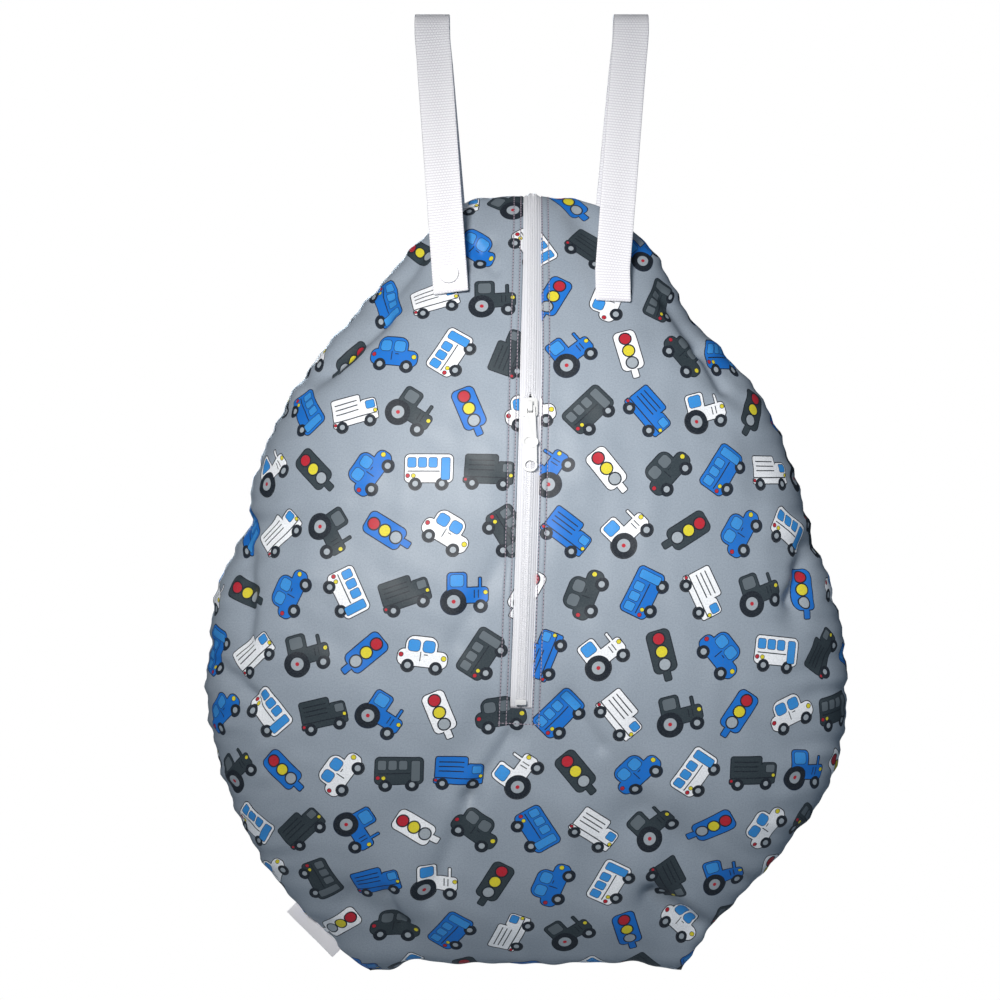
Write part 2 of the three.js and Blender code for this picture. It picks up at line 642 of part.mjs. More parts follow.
function strapSolid(stations) {
  const outline = [[-1, 0], [1, 0], [1, 1], [-1, 1]].map(([s, d]) => new THREE.Vector2(s, d));
  const rings = stations.map(({ point, out, thickness }, i) => {
    const before = stations[Math.max(i - 1, 0)].point;
    const after = stations[Math.min(i + 1, stations.length - 1)].point;
    const run = after.clone().sub(before).normalize();
    const side = run.clone().cross(out).normalize();
    const square = side.clone().cross(run);
    return outline.map((corner) =>
      point.clone()
        .addScaledVector(side, (corner.x * strapWidth) / 2)
        .addScaledVector(square, -corner.y * thickness),
    );
  });
  return lofted(rings, outline);
}

const leftStrap = strapStations({
  topX: leftStrapTopX,
  endX: leftStrapEndX,
  drop: leftStrapDrop,
  lean: leftStrapLean,
  snapped: true,
});
const rightStrap = strapStations({
  topX: rightStrapTopX,
  endX: rightStrapEndX,
  drop: rightStrapDrop,
  lean: rightStrapLean,
  snapped: false,
});
addPiece("strap_left", strapSolid(leftStrap), webbing);
addPiece("strap_right", strapSolid(rightStrap), webbing);

// Snap on the left strap: a domed cap in front, and a plain socket between the strap and the cloth.
function lathed(profile, sides = 20) {
  return new THREE.LatheGeometry(profile.map(([r, h]) => new THREE.Vector2(r, h)), sides);
}

const snapFoot = leftStrap[1].point;
const snapOut = leftStrap[1].out;
const snapTurn = new THREE.Quaternion().setFromUnitVectors(new THREE.Vector3(0, 1, 0), snapOut);

function addSnapPiece(name, profile, foot) {
  const mesh = addPiece(name, lathed(profile), enamel);
  mesh.quaternion.copy(snapTurn);
  mesh.position.copy(snapFoot).addScaledVector(snapOut, foot);
}

addSnapPiece("snap_cap", [
  [0, 0],
  [snapRadius - 0.3, 0],
  [snapRadius, 0.4],
  [snapRadius - 0.3, snapCapThickness * 0.7],
  [snapRadius * 0.75, snapCapThickness * 0.95],
  [snapRadius * 0.4, snapCapThickness],
  [0, snapCapThickness],
], clearance);
addSnapPiece("snap_socket", [
  [0, 0],
  [socketFootRadius, 0],
  [socketFootRadius, socketHeight * 0.5],
  [socketRadius, socketHeight * 0.6],
  [socketRadius, socketHeight],
  [0, socketHeight],
], -2 * strapThickness - socketHeight - clearance);

// Side label: a folded ribbon sewn in the left seam near the bottom corner. It stands off the seam's
// line, a little further where the seam bows out, and waves slightly along its length.
function labelSolid() {
  const steps = 6;
  const step = 0.005;
  const seamPoint = (place) => skin(FRONT, -1, place);
  let middle = 0;
  while (sectionAt(middle).up < labelRise) middle += step;

  function seamEnd(direction) {
    let place = middle;
    while (seamPoint(place).distanceTo(seamPoint(middle)) < labelLength / 2) place += direction * step;
    return seamPoint(place);
  }

  const low = seamEnd(-1);
  const high = seamEnd(1);
  const along = high.clone().sub(low).normalize();
  const out = new THREE.Vector3(-along.z, 0, along.x).normalize();
  if (out.x > 0) out.negate();
  const thick = out.clone().cross(along).normalize();

  const outline = [[0, 0], [1, 0], [1, 1], [0, 1]].map(([a, b]) => new THREE.Vector2(a, b));
  const rings = Array.from({ length: steps + 1 }, (_, k) => {
    const base = low.clone().lerp(high, k / steps);
    let bow = 0;
    for (let place = middle - 2; place <= middle + 2; place += 0.1) {
      const seam = seamPoint(place).sub(base);
      if (Math.abs(seam.dot(along)) < labelLength / steps) bow = Math.max(bow, seam.dot(out));
    }
    const wave = labelWave * Math.sin((k / steps) * 2 * Math.PI);
    return outline.map((corner) =>
      base.clone()
        .addScaledVector(out, bow + clearance + corner.x * labelWidth)
        .addScaledVector(thick, corner.x * wave + (corner.y - 0.5) * labelThickness),
    );
  });
  return lofted(rings, outline);
}

addPiece("side_label", labelSolid(), satin);

export default part;
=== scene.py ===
# Hanging wet bag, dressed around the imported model. Metres, +Z up, front towards -Y.
import math

import bmesh
import bpy
import numpy as np
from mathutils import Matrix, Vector


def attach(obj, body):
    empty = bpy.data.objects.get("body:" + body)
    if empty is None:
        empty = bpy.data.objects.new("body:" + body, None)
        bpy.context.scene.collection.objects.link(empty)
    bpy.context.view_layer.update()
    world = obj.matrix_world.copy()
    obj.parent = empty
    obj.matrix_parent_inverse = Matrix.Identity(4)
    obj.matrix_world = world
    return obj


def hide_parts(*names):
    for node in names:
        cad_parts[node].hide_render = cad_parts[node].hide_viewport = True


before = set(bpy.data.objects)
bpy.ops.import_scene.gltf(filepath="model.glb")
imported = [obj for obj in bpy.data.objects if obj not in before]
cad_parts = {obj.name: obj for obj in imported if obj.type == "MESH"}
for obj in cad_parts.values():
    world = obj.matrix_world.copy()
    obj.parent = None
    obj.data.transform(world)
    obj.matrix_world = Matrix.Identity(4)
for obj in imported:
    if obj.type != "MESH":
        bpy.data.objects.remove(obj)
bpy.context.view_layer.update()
scene = bpy.context.scene
MM = 0.001

# Studio
# The bag hangs in front of a white background, over a plain pale floor that glows a little towards the
# camera. A soft spotlight stands left of the camera, with weak fills at both sides and behind.
camera_distance = 2.5
camera_place = (-0.0189, -camera_distance, -0.351)
frame_width = 0.726
sensor_width = 36
camera = bpy.data.objects.new("camera", bpy.data.cameras.new("camera"))
camera.location = camera_place
camera.rotation_euler = (math.radians(90), 0, 0)
camera.data.sensor_width = sensor_width
camera.data.lens = sensor_width * camera_distance / frame_width
scene.collection.objects.link(camera)
scene.camera = camera
scene.view_settings.view_transform = "Standard"

bag_middle = Vector((0, 0, -0.42))
softboxes = {
    "left_fill": {"place": (-2.4, -1.4, 0.1), "size": 1.0, "watts": 6},
    "right_fill": {"place": (2.4, -1.4, 0.1), "size": 1.0, "watts": 11},
    "back_fill": {"place": (-0.4, 2.6, 0.25), "size": 1.2, "watts": 46},
}
key_place = (-0.50, -2.06, 0.25)
key_aim = Vector((0.03, 0, -0.34))
key_size = 0.28
key_watts = 284
key_angle = math.radians(25)
key = bpy.data.lights.new("key", "SPOT")
key.shadow_soft_size = key_size
key.energy = key_watts
key.spot_size = key_angle
key.spot_blend = 1
key.color = (1, 0.985, 0.96)
fill_color = (0.72, 0.86, 1)


def add_lamp(name, lamp, place, aim):
    holder = bpy.data.objects.new(name, lamp)
    holder.location = place
    holder.rotation_euler = (aim - Vector(place)).to_track_quat("-Z", "Y").to_euler()
    scene.collection.objects.link(holder)


add_lamp("key", key, key_place, key_aim)
for name, box in softboxes.items():
    lamp = bpy.data.lights.new(name, "AREA")
    lamp.shape = "SQUARE"
    lamp.size = box["size"]
    lamp.energy = box["watts"]
    lamp.color = fill_color
    add_lamp(name, lamp, box["place"], bag_middle)

world = bpy.data.worlds.new("white_room")
scene.world = world
world.use_nodes = True
room = world.node_tree
room.nodes.clear()
seen = room.nodes.new("ShaderNodeBackground")
seen.inputs["Color"].default_value = (1, 1, 1, 1)
around = room.nodes.new("ShaderNodeBackground")
around.inputs["Color"].default_value = (0.62, 0.80, 1, 1)
around.inputs["Strength"].default_value = 0.055
camera_ray = room.nodes.new("ShaderNodeLightPath")
chosen = room.nodes.new("ShaderNodeMixShader")
room_output = room.nodes.new("ShaderNodeOutputWorld")
room.links.new(camera_ray.outputs["Is Camera Ray"], chosen.inputs[0])
room.links.new(around.outputs[0], chosen.inputs[1])
room.links.new(seen.outputs[0], chosen.inputs[2])
room.links.new(chosen.outputs[0], room_output.inputs[0])

floor_drop = 1.9
floor_radius = 3.0
floor_sides = 96
floor_color = (0.86, 0.86, 0.86, 1)
floor_glow = (0.66, 0.66, 0.66, 1)
floor_mesh = bmesh.new()
bmesh.ops.create_circle(floor_mesh, cap_ends=True, segments=floor_sides, radius=floor_radius)
bmesh.ops.translate(floor_mesh, verts=floor_mesh.verts, vec=(0, 0, -floor_drop))
floor = bpy.data.objects.new("floor", bpy.data.meshes.new("floor"))
floor_mesh.to_mesh(floor.data)
floor_mesh.free()
scene.collection.objects.link(floor)
floor_paint = bpy.data.materials.new("floor_paint")
floor_paint.use_nodes = True
floor_nodes = floor_paint.node_tree
floor_shader = floor_nodes.nodes["Principled BSDF"]
floor_shader.inputs["Base Color"].default_value = floor_color
floor_shader.inputs["Roughness"].default_value = 0.9
floor_shader.inputs["Emission Color"].default_value = floor_glow
seen_floor = floor_nodes.nodes.new("ShaderNodeLightPath")
floor_nodes.links.new(seen_floor.outputs["Is Camera Ray"], floor_shader.inputs["Emission Strength"])
floor.data.materials.append(floor_paint)

# Bag cloth
# Two panels of smooth laminated knit, sewn together at the sides, top and bottom and turned inside
# out, so that the seams lie inside. The bag is full and hangs from its top, with its widest place low.
bag_width = 0.464
seam_height = 0.5445
top_seam = -0.137
bottom_seam = top_seam - seam_height
front_bulge = 0.098
back_bulge = 0.074
corner_drop = 0.012
corner_start = 0.6
corner_span = 0.35
cloth_wall = 1.2 * MM
seam_gap = 0.1 * MM
plumpness = 2.4
fold_depth = 8 * MM
fold_width = 20 * MM
fold_fade_power = 12
fold_fade_rows = 3
cloth_crease = math.radians(60)
FRONT = -1
BACK = 1

# Horizontal sections from the bottom seam up: share of the height, left and right half width,
# front and back bulge, lean, tilt in degrees and share of the corner drop.
sections = np.array([
    (0.000, 0.488, 0.488, 0.000, 0.00, 0.10, -50, 1.00),
    (0.008, 0.531, 0.504, 0.133, 0.14, 0.09, -48, 0.75),
    (0.020, 0.575, 0.534, 0.237, 0.26, 0.08, -38, 0.45),
    (0.042, 0.634, 0.575, 0.326, 0.37, 0.07, -25, 0.20),
    (0.068, 0.710, 0.640, 0.430, 0.50, 0.06, -14, 0),
    (0.108, 0.792, 0.735, 0.548, 0.64, 0.04, -6, 0),
    (0.155, 0.861, 0.828, 0.652, 0.77, 0.02, 0, 0),
    (0.221, 0.931, 0.938, 0.770, 0.90, 0, 0, 0),
    (0.288, 0.975, 0.988, 0.867, 0.97, 0, 0, 0),
    (0.354, 1.000, 1.000, 0.948, 1.00, 0, 0, 0),
    (0.422, 0.984, 0.991, 0.985, 1.00, 0, 0, 0),
    (0.474, 0.975, 0.963, 1.000, 1.00, 0, 0, 0),
    (0.521, 0.934, 0.931, 1.000, 0.99, 0, 0, 0),
    (0.551, 0.897, 0.894, 0.993, 0.98, 0, 0, 0),
    (0.575, 0.859, 0.884, 0.985, 0.97, 0, 0, 0),
    (0.608, 0.862, 0.862, 0.970, 0.96, 0, 0, 0),
    (0.662, 0.828, 0.822, 0.933, 0.92, 0, 0, 0),
    (0.741, 0.741, 0.738, 0.830, 0.83, 0, 0, 0),
    (0.808, 0.631, 0.607, 0.711, 0.72, 0, 0, 0),
    (0.845, 0.555, 0.523, 0.634, 0.65, 0.01, 0, 0),
    (0.875, 0.493, 0.480, 0.563, 0.58, 0.02, 0, 0),
    (0.926, 0.391, 0.418, 0.422, 0.45, 0.04, 5, 0),
    (0.957, 0.319, 0.353, 0.319, 0.35, 0.05, 15, 0),
    (0.978, 0.263, 0.281, 0.237, 0.26, 0.07, 30, 0),
    (0.993, 0.213, 0.206, 0.148, 0.17, 0.08, 45, 0),
    (1.000, 0.163, 0.131, 0.000, 0.00, 0.09, 55, 0),
])
last_place = len(sections) - 1

# Folds of the front: x and height at each end, as shares of half the width and of the height, then
# depth and width as shares of the deepest and widest fold. The first nine are the frame's own.
folds = np.array([
    (-0.884, 0.566, -0.894, 0.445, 0.85, 0.60),
    (0.890, 0.544, 0.825, 0.464, 0.65, 0.60),
    (-0.370, 0.901, -0.670, 0.762, 0.60, 0.70),
    (0.500, 0.871, 0.670, 0.752, 0.60, 0.65),
    (-0.100, 0.326, -0.320, 0.207, 0.50, 0.90),
    (0.120, 0.345, 0.240, 0.256, 0.30, 0.90),
    (-0.540, 0.078, -0.380, 0.033, 0.60, 0.60),
    (0.390, 0.078, 0.500, 0.028, 0.70, 0.60),
    (0.160, 0.985, 0.220, 0.940, 0.45, 0.55),
    (-0.110, 0.945, -0.190, 0.915, 0.35, 0.30),
    (-0.441, 0.846, -0.611, 0.783, 0.70, 0.30),
    (-0.185, 0.954, -0.094, 0.908, 0.35, 0.20),
    (0.120, 0.350, 0.223, 0.289, 0.45, 0.28),
    (-0.050, 0.300, -0.173, 0.218, 0.65, 0.30),
    (-0.173, 0.218, -0.294, 0.088, 0.55, 0.40),
    (0.421, 0.879, 0.542, 0.808, 0.60, 0.28),
    (0.542, 0.808, 0.612, 0.756, 0.60, 0.28),
    (-0.310, 0.944, -0.431, 0.879, 0.45, 0.28),
    (-0.538, 0.827, -0.690, 0.750, 0.55, 0.30),
    (-0.960, 0.392, -0.830, 0.348, 0.90, 0.28),
    (-0.431, 0.088, -0.392, 0.043, 0.65, 0.30),
    (0.390, 0.088, 0.542, 0.043, 0.80, 0.35),
    (-0.870, 0.568, -0.857, 0.425, 0.60, 0.28),
    (0.868, 0.545, 0.816, 0.477, 0.80, 0.28),
    (0.345, 0.192, 0.679, 0.082, 0.80, 0.90),
    (-0.081, 0.529, -0.218, 0.425, 0.18, 0.32),
    (0.147, 0.607, 0.345, 0.529, 0.16, 0.36),
    (0.640, 0.830, 0.740, 0.720, -0.25, 0.50),
])


def smooth_step(value):
    value = np.clip(value, 0, 1)
    return value * value * (3 - 2 * value)


def section_at(place):
    """The section's values at a place along the table, smooth between the rows."""
    row = np.minimum(np.floor(place), last_place - 1).astype(int)
    share = (place - row)[..., None]
    a, b, c, d = (sections[np.clip(row + i, 0, last_place)] for i in (-1, 0, 1, 2))
    bend = (2 * a - 5 * b + 4 * c - d) * share**2 + (3 * (b - c) + d - a) * share**3
    return np.moveaxis(b + ((c - a) * share + bend) / 2, -1, 0)


def plain_skin(face, across, place):
    """The bag's face before its folds. across runs from -1 at the left seam to 1 at the right seam."""
    up, left, right, front, back, lean, tilt, corner = section_at(place)
    half = bag_width / 2 * np.where(across < 0, left, right)
    bulge = front_bulge * front if face == FRONT else back_bulge * back
    rounding = np.maximum(0, 1 - np.abs(across) ** plumpness) ** (1 / plumpness)
    out = face * (seam_gap / 2 + np.maximum(bulge, 0) * rounding)
    drop = corner_drop * corner * smooth_step((np.abs(across) - corner_start) / corner_span)
    tilt = np.radians(tilt)
    y = front_bulge * lean + np.cos(tilt) * out
    z = bottom_seam + seam_height * up - np.sin(tilt) * out - drop
    return np.stack([across * half, y, z], -1)


def fold_at(x, z):
    """How far the folds push the front in at a point seen from the front."""
    push = np.zeros_like(x)
    for from_x, from_up, to_x, to_up, deep, wide in folds:
        start = np.array((from_x * bag_width / 2, bottom_seam + from_up * seam_height))
        run = np.array((to_x * bag_width / 2, bottom_seam + to_up * seam_height)) - start
        offset = np.stack([x, z], -1) - start
        share = np.clip(offset @ run / (run @ run), 0, 1)
        offset = offset - share[..., None] * run
        push += deep * fold_depth * np.exp(-(offset**2).sum(-1) / (wide * fold_width) ** 2)
    return push


def unit(vectors):
    return vectors / np.maximum(np.linalg.norm(vectors, axis=-1, keepdims=True), 1e-12)


def outward(skin_of, face, across, place, step=0.01):
    """The direction straight out of a face, from its slope across and along."""
    along = skin_of(face, across, np.minimum(place + step, last_place))
    along = along - skin_of(face, across, np.maximum(place - step, 0))
    side = skin_of(face, np.minimum(across + step, 1), place)
    side = side - skin_of(face, np.maximum(across - step, -1), place)
    return unit(np.cross(along, side)) * face


def skin(face, across, place):
    point = plain_skin(face, across, place)
    if face == BACK:
        return point
    ends = smooth_step(np.minimum(place, last_place - place) / fold_fade_rows)
    push = (1 - np.abs(across) ** fold_fade_power) * ends * fold_at(point[..., 0], point[..., 2])
    return point - outward(plain_skin, face, across, place) * push[..., None]


def across_at(x, place):
    _, left, right, *_ = section_at(place)
    return x / (bag_width / 2 * np.where(x < 0, left, right))


def off_skin(face, x, place, out):
    """A point of the face at a given x, moved straight out by a distance, and that direction."""
    x, place = np.broadcast_arrays(np.asarray(x, float), np.asarray(place, float))
    across = np.clip(across_at(x, place), -1, 1)
    direction = outward(skin, face, across, place)
    return skin(face, across, place) + direction * np.asarray(out, float)[..., None], direction


def place_at(face, x, z):
    """The section place where a face has a given x and height."""
    low, high = 4.0, last_place - 1.0
    for _ in range(40):
        middle = (low + high) / 2
        if off_skin(face, x, middle, 0)[0][2] < z:
            low = middle
        else:
            high = middle
    return (low + high) / 2


# The zip's slot down the middle of the front.
zip_length = 0.360
zip_top_x = 4.4 * MM
zip_end_x = -4.4 * MM
zip_bend = 1.6
slot_top_width = 12 * MM
slot_end_width = 15.4 * MM
slot_flare = 0.35


def zip_line(place):
    """The zip's x and the slot's half width at a section place."""
    height = bottom_seam + seam_height * section_at(np.asarray(place, float))[0]
    share = np.maximum((top_seam - height) / zip_length, 0)
    half = (slot_top_width + (slot_end_width - slot_top_width) * smooth_step(share / slot_flare)) / 2
    return zip_top_x + (zip_end_x - zip_top_x) * share**zip_bend, half


zip_end_place = place_at(FRONT, zip_end_x, top_seam - zip_length)
dense_count = 4000


def even_places(face, step):
    """Section places whose rows lie about a step apart along the face, closest where it curls in."""
    dense = np.linspace(0, last_place, dense_count)
    runs = []
    for across in (0.0, 0.55, -0.55):
        points = plain_skin(face, np.full_like(dense, across), dense)
        runs.append(np.linalg.norm(np.diff(points, axis=0), axis=1))
    length = np.concatenate([[0], np.cumsum(np.max(runs, axis=0))])
    count = int(round(length[-1] / step))
    return np.interp(np.linspace(0, length[-1], count + 1), length, dense)


def even_shares(step):
    """Shares from the zip to the side seam whose columns lie about a step apart at the widest row."""
    across = np.sin(np.linspace(0, math.pi / 2, dense_count))
    depth = front_bulge * np.maximum(0, 1 - across**plumpness) ** (1 / plumpness)
    length = np.hypot(np.diff(across * bag_width / 2), np.diff(depth))
    length = np.concatenate([[0], np.cumsum(length)])
    count = int(round(length[-1] / step))
    return np.interp(np.linspace(0, length[-1], count + 1), length, across)[1:]


hem_steps = np.array((0, 0.35, 0.8, 1.4, 2.2, 3.4, 5.2, 7.4, 10)) * MM


def grid_columns(places, shares):
    """Each row's columns: the zip's line, the slot's edges, the hem and on to the side seams."""
    x, half = zip_line(places)
    sides = []
    for side in (-1, 1):
        hem = np.stack([across_at(x + side * (half + d), places) for d in hem_steps], 1)
        rest = hem[:, -1:] + (side - hem[:, -1:]) * shares[None, :]
        sides.append(np.concatenate([hem, rest], 1))
    return np.concatenate([sides[0][:, ::-1], across_at(x, places)[:, None], sides[1]], 1)


def ripple(value, waves):
    """A sum of sine waves, each given as its length in metres and its phase."""
    return sum(np.sin(2 * math.pi * (value / length + phase)) for length, phase in waves) / len(waves)


seam_pucker = 1.9 * MM
edge_pucker = 2.4 * MM
edge_rows = 2.6
zip_keep = 18 * MM
lump_height = 2.2 * MM
wrinkle_height = 0.55 * MM
calm_share = 0.8
slot_calm = 22 * MM
calm_low = -0.545
seat_calm = 26 * MM
strap_seats = ((-0.0545, -0.194), (0.060, -0.199))
relief_waves = {
    "seam_out": ((0.034, 0.2), (0.0213, 0.55), (0.0127, 0.1)),
    "seam_forward": ((0.027, 0.4), (0.0171, 0.8)),
    "lumps_across": ((0.113, 0.1), (0.071, 0.62)),
    "lumps_up": ((0.127, 0.33), (0.083, 0.9)),
    "rays": ((0.041, 0.15), (0.0263, 0.7), (0.0187, 0.35)),
    "wrinkles_across": ((0.043, 0.3), (0.0287, 0.75)),
    "wrinkles_up": ((0.061, 0.6),),
    "edge": ((0.0613, 0.55), (0.0391, 0.2), (0.0231, 0.85)),
}
left_seam_shift = 0.31
seam_power = 10
lump_slope_across = 0.3
lump_slope_up = 0.4
ray_bend = 12 * MM
ray_bend_length = 21 * MM
ray_slope = 0.25
ray_power = 5
wrinkle_slope = 0.55
wrinkle_cross_slope = 0.7
wrinkle_bend = 6 * MM
wrinkle_bend_length = 17 * MM
open_power = 14
back_looseness = 1.5


def calm_at(point):
    """How free the cloth is to wrinkle: least beside the zip and where the straps are fixed."""
    beside = smooth_step((point[..., 2] - calm_low) / slot_calm)
    free = 1 - calm_share * np.exp(-((point[..., 0] / slot_calm) ** 2)) * beside
    for seat_x, seat_z in strap_seats:
        away = ((point[..., 0] - seat_x) ** 2 + (point[..., 2] - seat_z) ** 2) / seat_calm**2
        free = free * (1 - calm_share * np.exp(-away))
    return free


def soft_relief(face, across, place, point, direction):
    """The small puckers along the seams, soft wrinkles and the low lumps of what fills the bag."""
    x = point[..., 0]
    along = point[..., 2]
    from_end = np.minimum(place, last_place - place)
    near_seam = np.abs(across) ** seam_power * seam_pucker
    side = np.where(across < 0, left_seam_shift, 0.0)
    shift = np.zeros_like(point)
    shift[..., 0] = np.sign(across) * ripple(along + side, relief_waves["seam_out"]) * near_seam
    shift[..., 1] = ripple(along - side, relief_waves["seam_forward"]) * near_seam
    lumps = ripple(x + lump_slope_across * along, relief_waves["lumps_across"])
    lumps = lumps * ripple(along - lump_slope_up * x, relief_waves["lumps_up"])
    bent = along + ray_bend * np.sin(x / ray_bend_length)
    rays = ripple(bent + ray_slope * np.abs(x), relief_waves["rays"]) * np.abs(across) ** ray_power
    slant = x + wrinkle_slope * along + wrinkle_bend * np.sin(along / wrinkle_bend_length)
    wrinkles = ripple(slant, relief_waves["wrinkles_across"])
    wrinkles = wrinkles * ripple(along - wrinkle_cross_slope * x, relief_waves["wrinkles_up"])
    ends = smooth_step(from_end / 2)
    looseness = 1 if face == FRONT else back_looseness
    open_face = (1 - np.abs(across) ** open_power) * ends * calm_at(point) * looseness
    rise = (lumps + rays) * lump_height + wrinkles * wrinkle_height
    shift += direction * (rise * open_face)[..., None]
    shift = shift * ends[..., None]
    near_edge = smooth_step(1 - from_end / edge_rows)
    beside_zip = 1 - np.exp(-((x / zip_keep) ** 2)) * (place > last_place / 2)
    shift[..., 2] += ripple(x, relief_waves["edge"]) * edge_pucker * near_edge * beside_zip
    return point + shift


hem_roll = 1.0 * MM
hem_roll_width = 1.3 * MM


def cloth_mesh(name, face, places, columns, kept, hemmed):
    """A panel with its outer and inner side, and its flat-cloth coordinates in metres as its UV map."""
    place_grid = np.repeat(places[:, None], columns.shape[1], 1)
    flat = plain_skin(face, columns, place_grid)
    direction = outward(skin, face, columns, place_grid)
    outer = soft_relief(face, columns, place_grid, skin(face, columns, place_grid), direction)
    middle = columns.shape[1] // 2
    x, half = zip_line(places)
    from_slot = np.abs(flat[..., 0] - x[:, None]) - half[:, None]
    slot_side = np.where(flat[..., 0] < x[:, None], -1, 1)
    if hemmed:
        roll = hem_roll * np.clip(1 - from_slot / hem_roll_width, 0, 1) ** 2
        roll = roll * (places > zip_end_place)[:, None]
        outer = outer - direction * roll[..., None]
    along = np.gradient(outer, axis=0)
    beside = np.gradient(outer, axis=1)
    normal = unit(np.cross(along, beside)) * face
    inner = outer - normal * cloth_wall

    step = np.linalg.norm(np.diff(flat, axis=1), axis=-1)
    across_run = np.concatenate([np.zeros((len(places), 1)), np.cumsum(step, 1)], 1)
    u = across_run - across_run[:, middle : middle + 1]
    spine = np.linalg.norm(np.diff(flat[:, middle], axis=0), axis=-1)
    v = np.repeat(np.concatenate([[0], np.cumsum(spine)])[:, None], columns.shape[1], 1)

    rows, width = columns.shape
    index = np.arange(rows * width).reshape(rows, width)
    cells = np.stack([index[:-1, :-1], index[:-1, 1:], index[1:, 1:], index[1:, :-1]], -1)
    if face == BACK:
        cells = cells[..., ::-1]
    keep = kept(*np.meshgrid(np.arange(rows - 1), np.arange(width - 1), indexing="ij"))
    faces = cells[keep]
    count = rows * width
    edges = np.concatenate([np.stack([faces[:, k], faces[:, (k + 1) % 4]], 1) for k in range(4)])
    known = set(map(tuple, edges.tolist()))
    rim = np.array([(b, a, a + count, b + count) for a, b in known if (b, a) not in known])
    rim = rim[np.argsort(rim[:, 1] * 7 + rim[:, 0])]
    everything = np.concatenate([faces, faces[:, ::-1] + count, rim])
    used = np.unique(everything)
    renumber = np.zeros(2 * count, int)
    renumber[used] = np.arange(len(used))
    points = np.concatenate([outer.reshape(-1, 3), inner.reshape(-1, 3)])[used]
    mesh = bpy.data.meshes.new(name)
    mesh.from_pydata(points.tolist(), [], renumber[everything].tolist())
    loops = np.zeros(len(mesh.loops), int)
    mesh.loops.foreach_get("vertex_index", loops)
    flat_uv = np.tile(np.stack([u.ravel(), v.ravel()], 1), (2, 1))[used]
    mesh.uv_layers.new(name="flat_cloth").data.foreach_set("uv", flat_uv[loops].ravel())
    beside_slot = hemmed & (places > place_at(FRONT, zip_end_x, top_seam - zip_length - end_row_drop))
    slot = np.where(beside_slot[:, None], slot_side * from_slot, 1.0).ravel()
    slot = np.concatenate([slot, slot])[used]
    mesh.attributes.new("from_slot", "FLOAT", "POINT").data.foreach_set("value", slot)
    mesh.polygons.foreach_set("use_smooth", np.ones(len(mesh.polygons), bool))
    mesh.set_sharp_from_angle(angle=cloth_crease)
    return mesh


def add_piece(name, mesh, material, body, replaces=()):
    """A finished piece on its body, with its finish, standing for the CAD nodes it replaces."""
    piece = bpy.data.objects.new(name, mesh)
    scene.collection.objects.link(piece)
    if material:
        mesh.materials.clear()
        mesh.materials.append(material)
    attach(piece, body)
    if replaces:
        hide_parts(*replaces)
    return piece


# Printed cloth's finish: a grey ground with a small scattered print of toy vehicles. Each toy is a
# table of rounded patches in millimetres: layer, centre, half size and corner radius.


def dot(layer, x, y, radius):
    return (layer, x, y, radius, radius, radius)


def wheel(x, y, cover, tyre, hub):
    """A wheel from the side, inside the body's edge."""
    return [dot("body", x, y, cover), dot("line", x, y, tyre), dot("light", x, y, hub)]


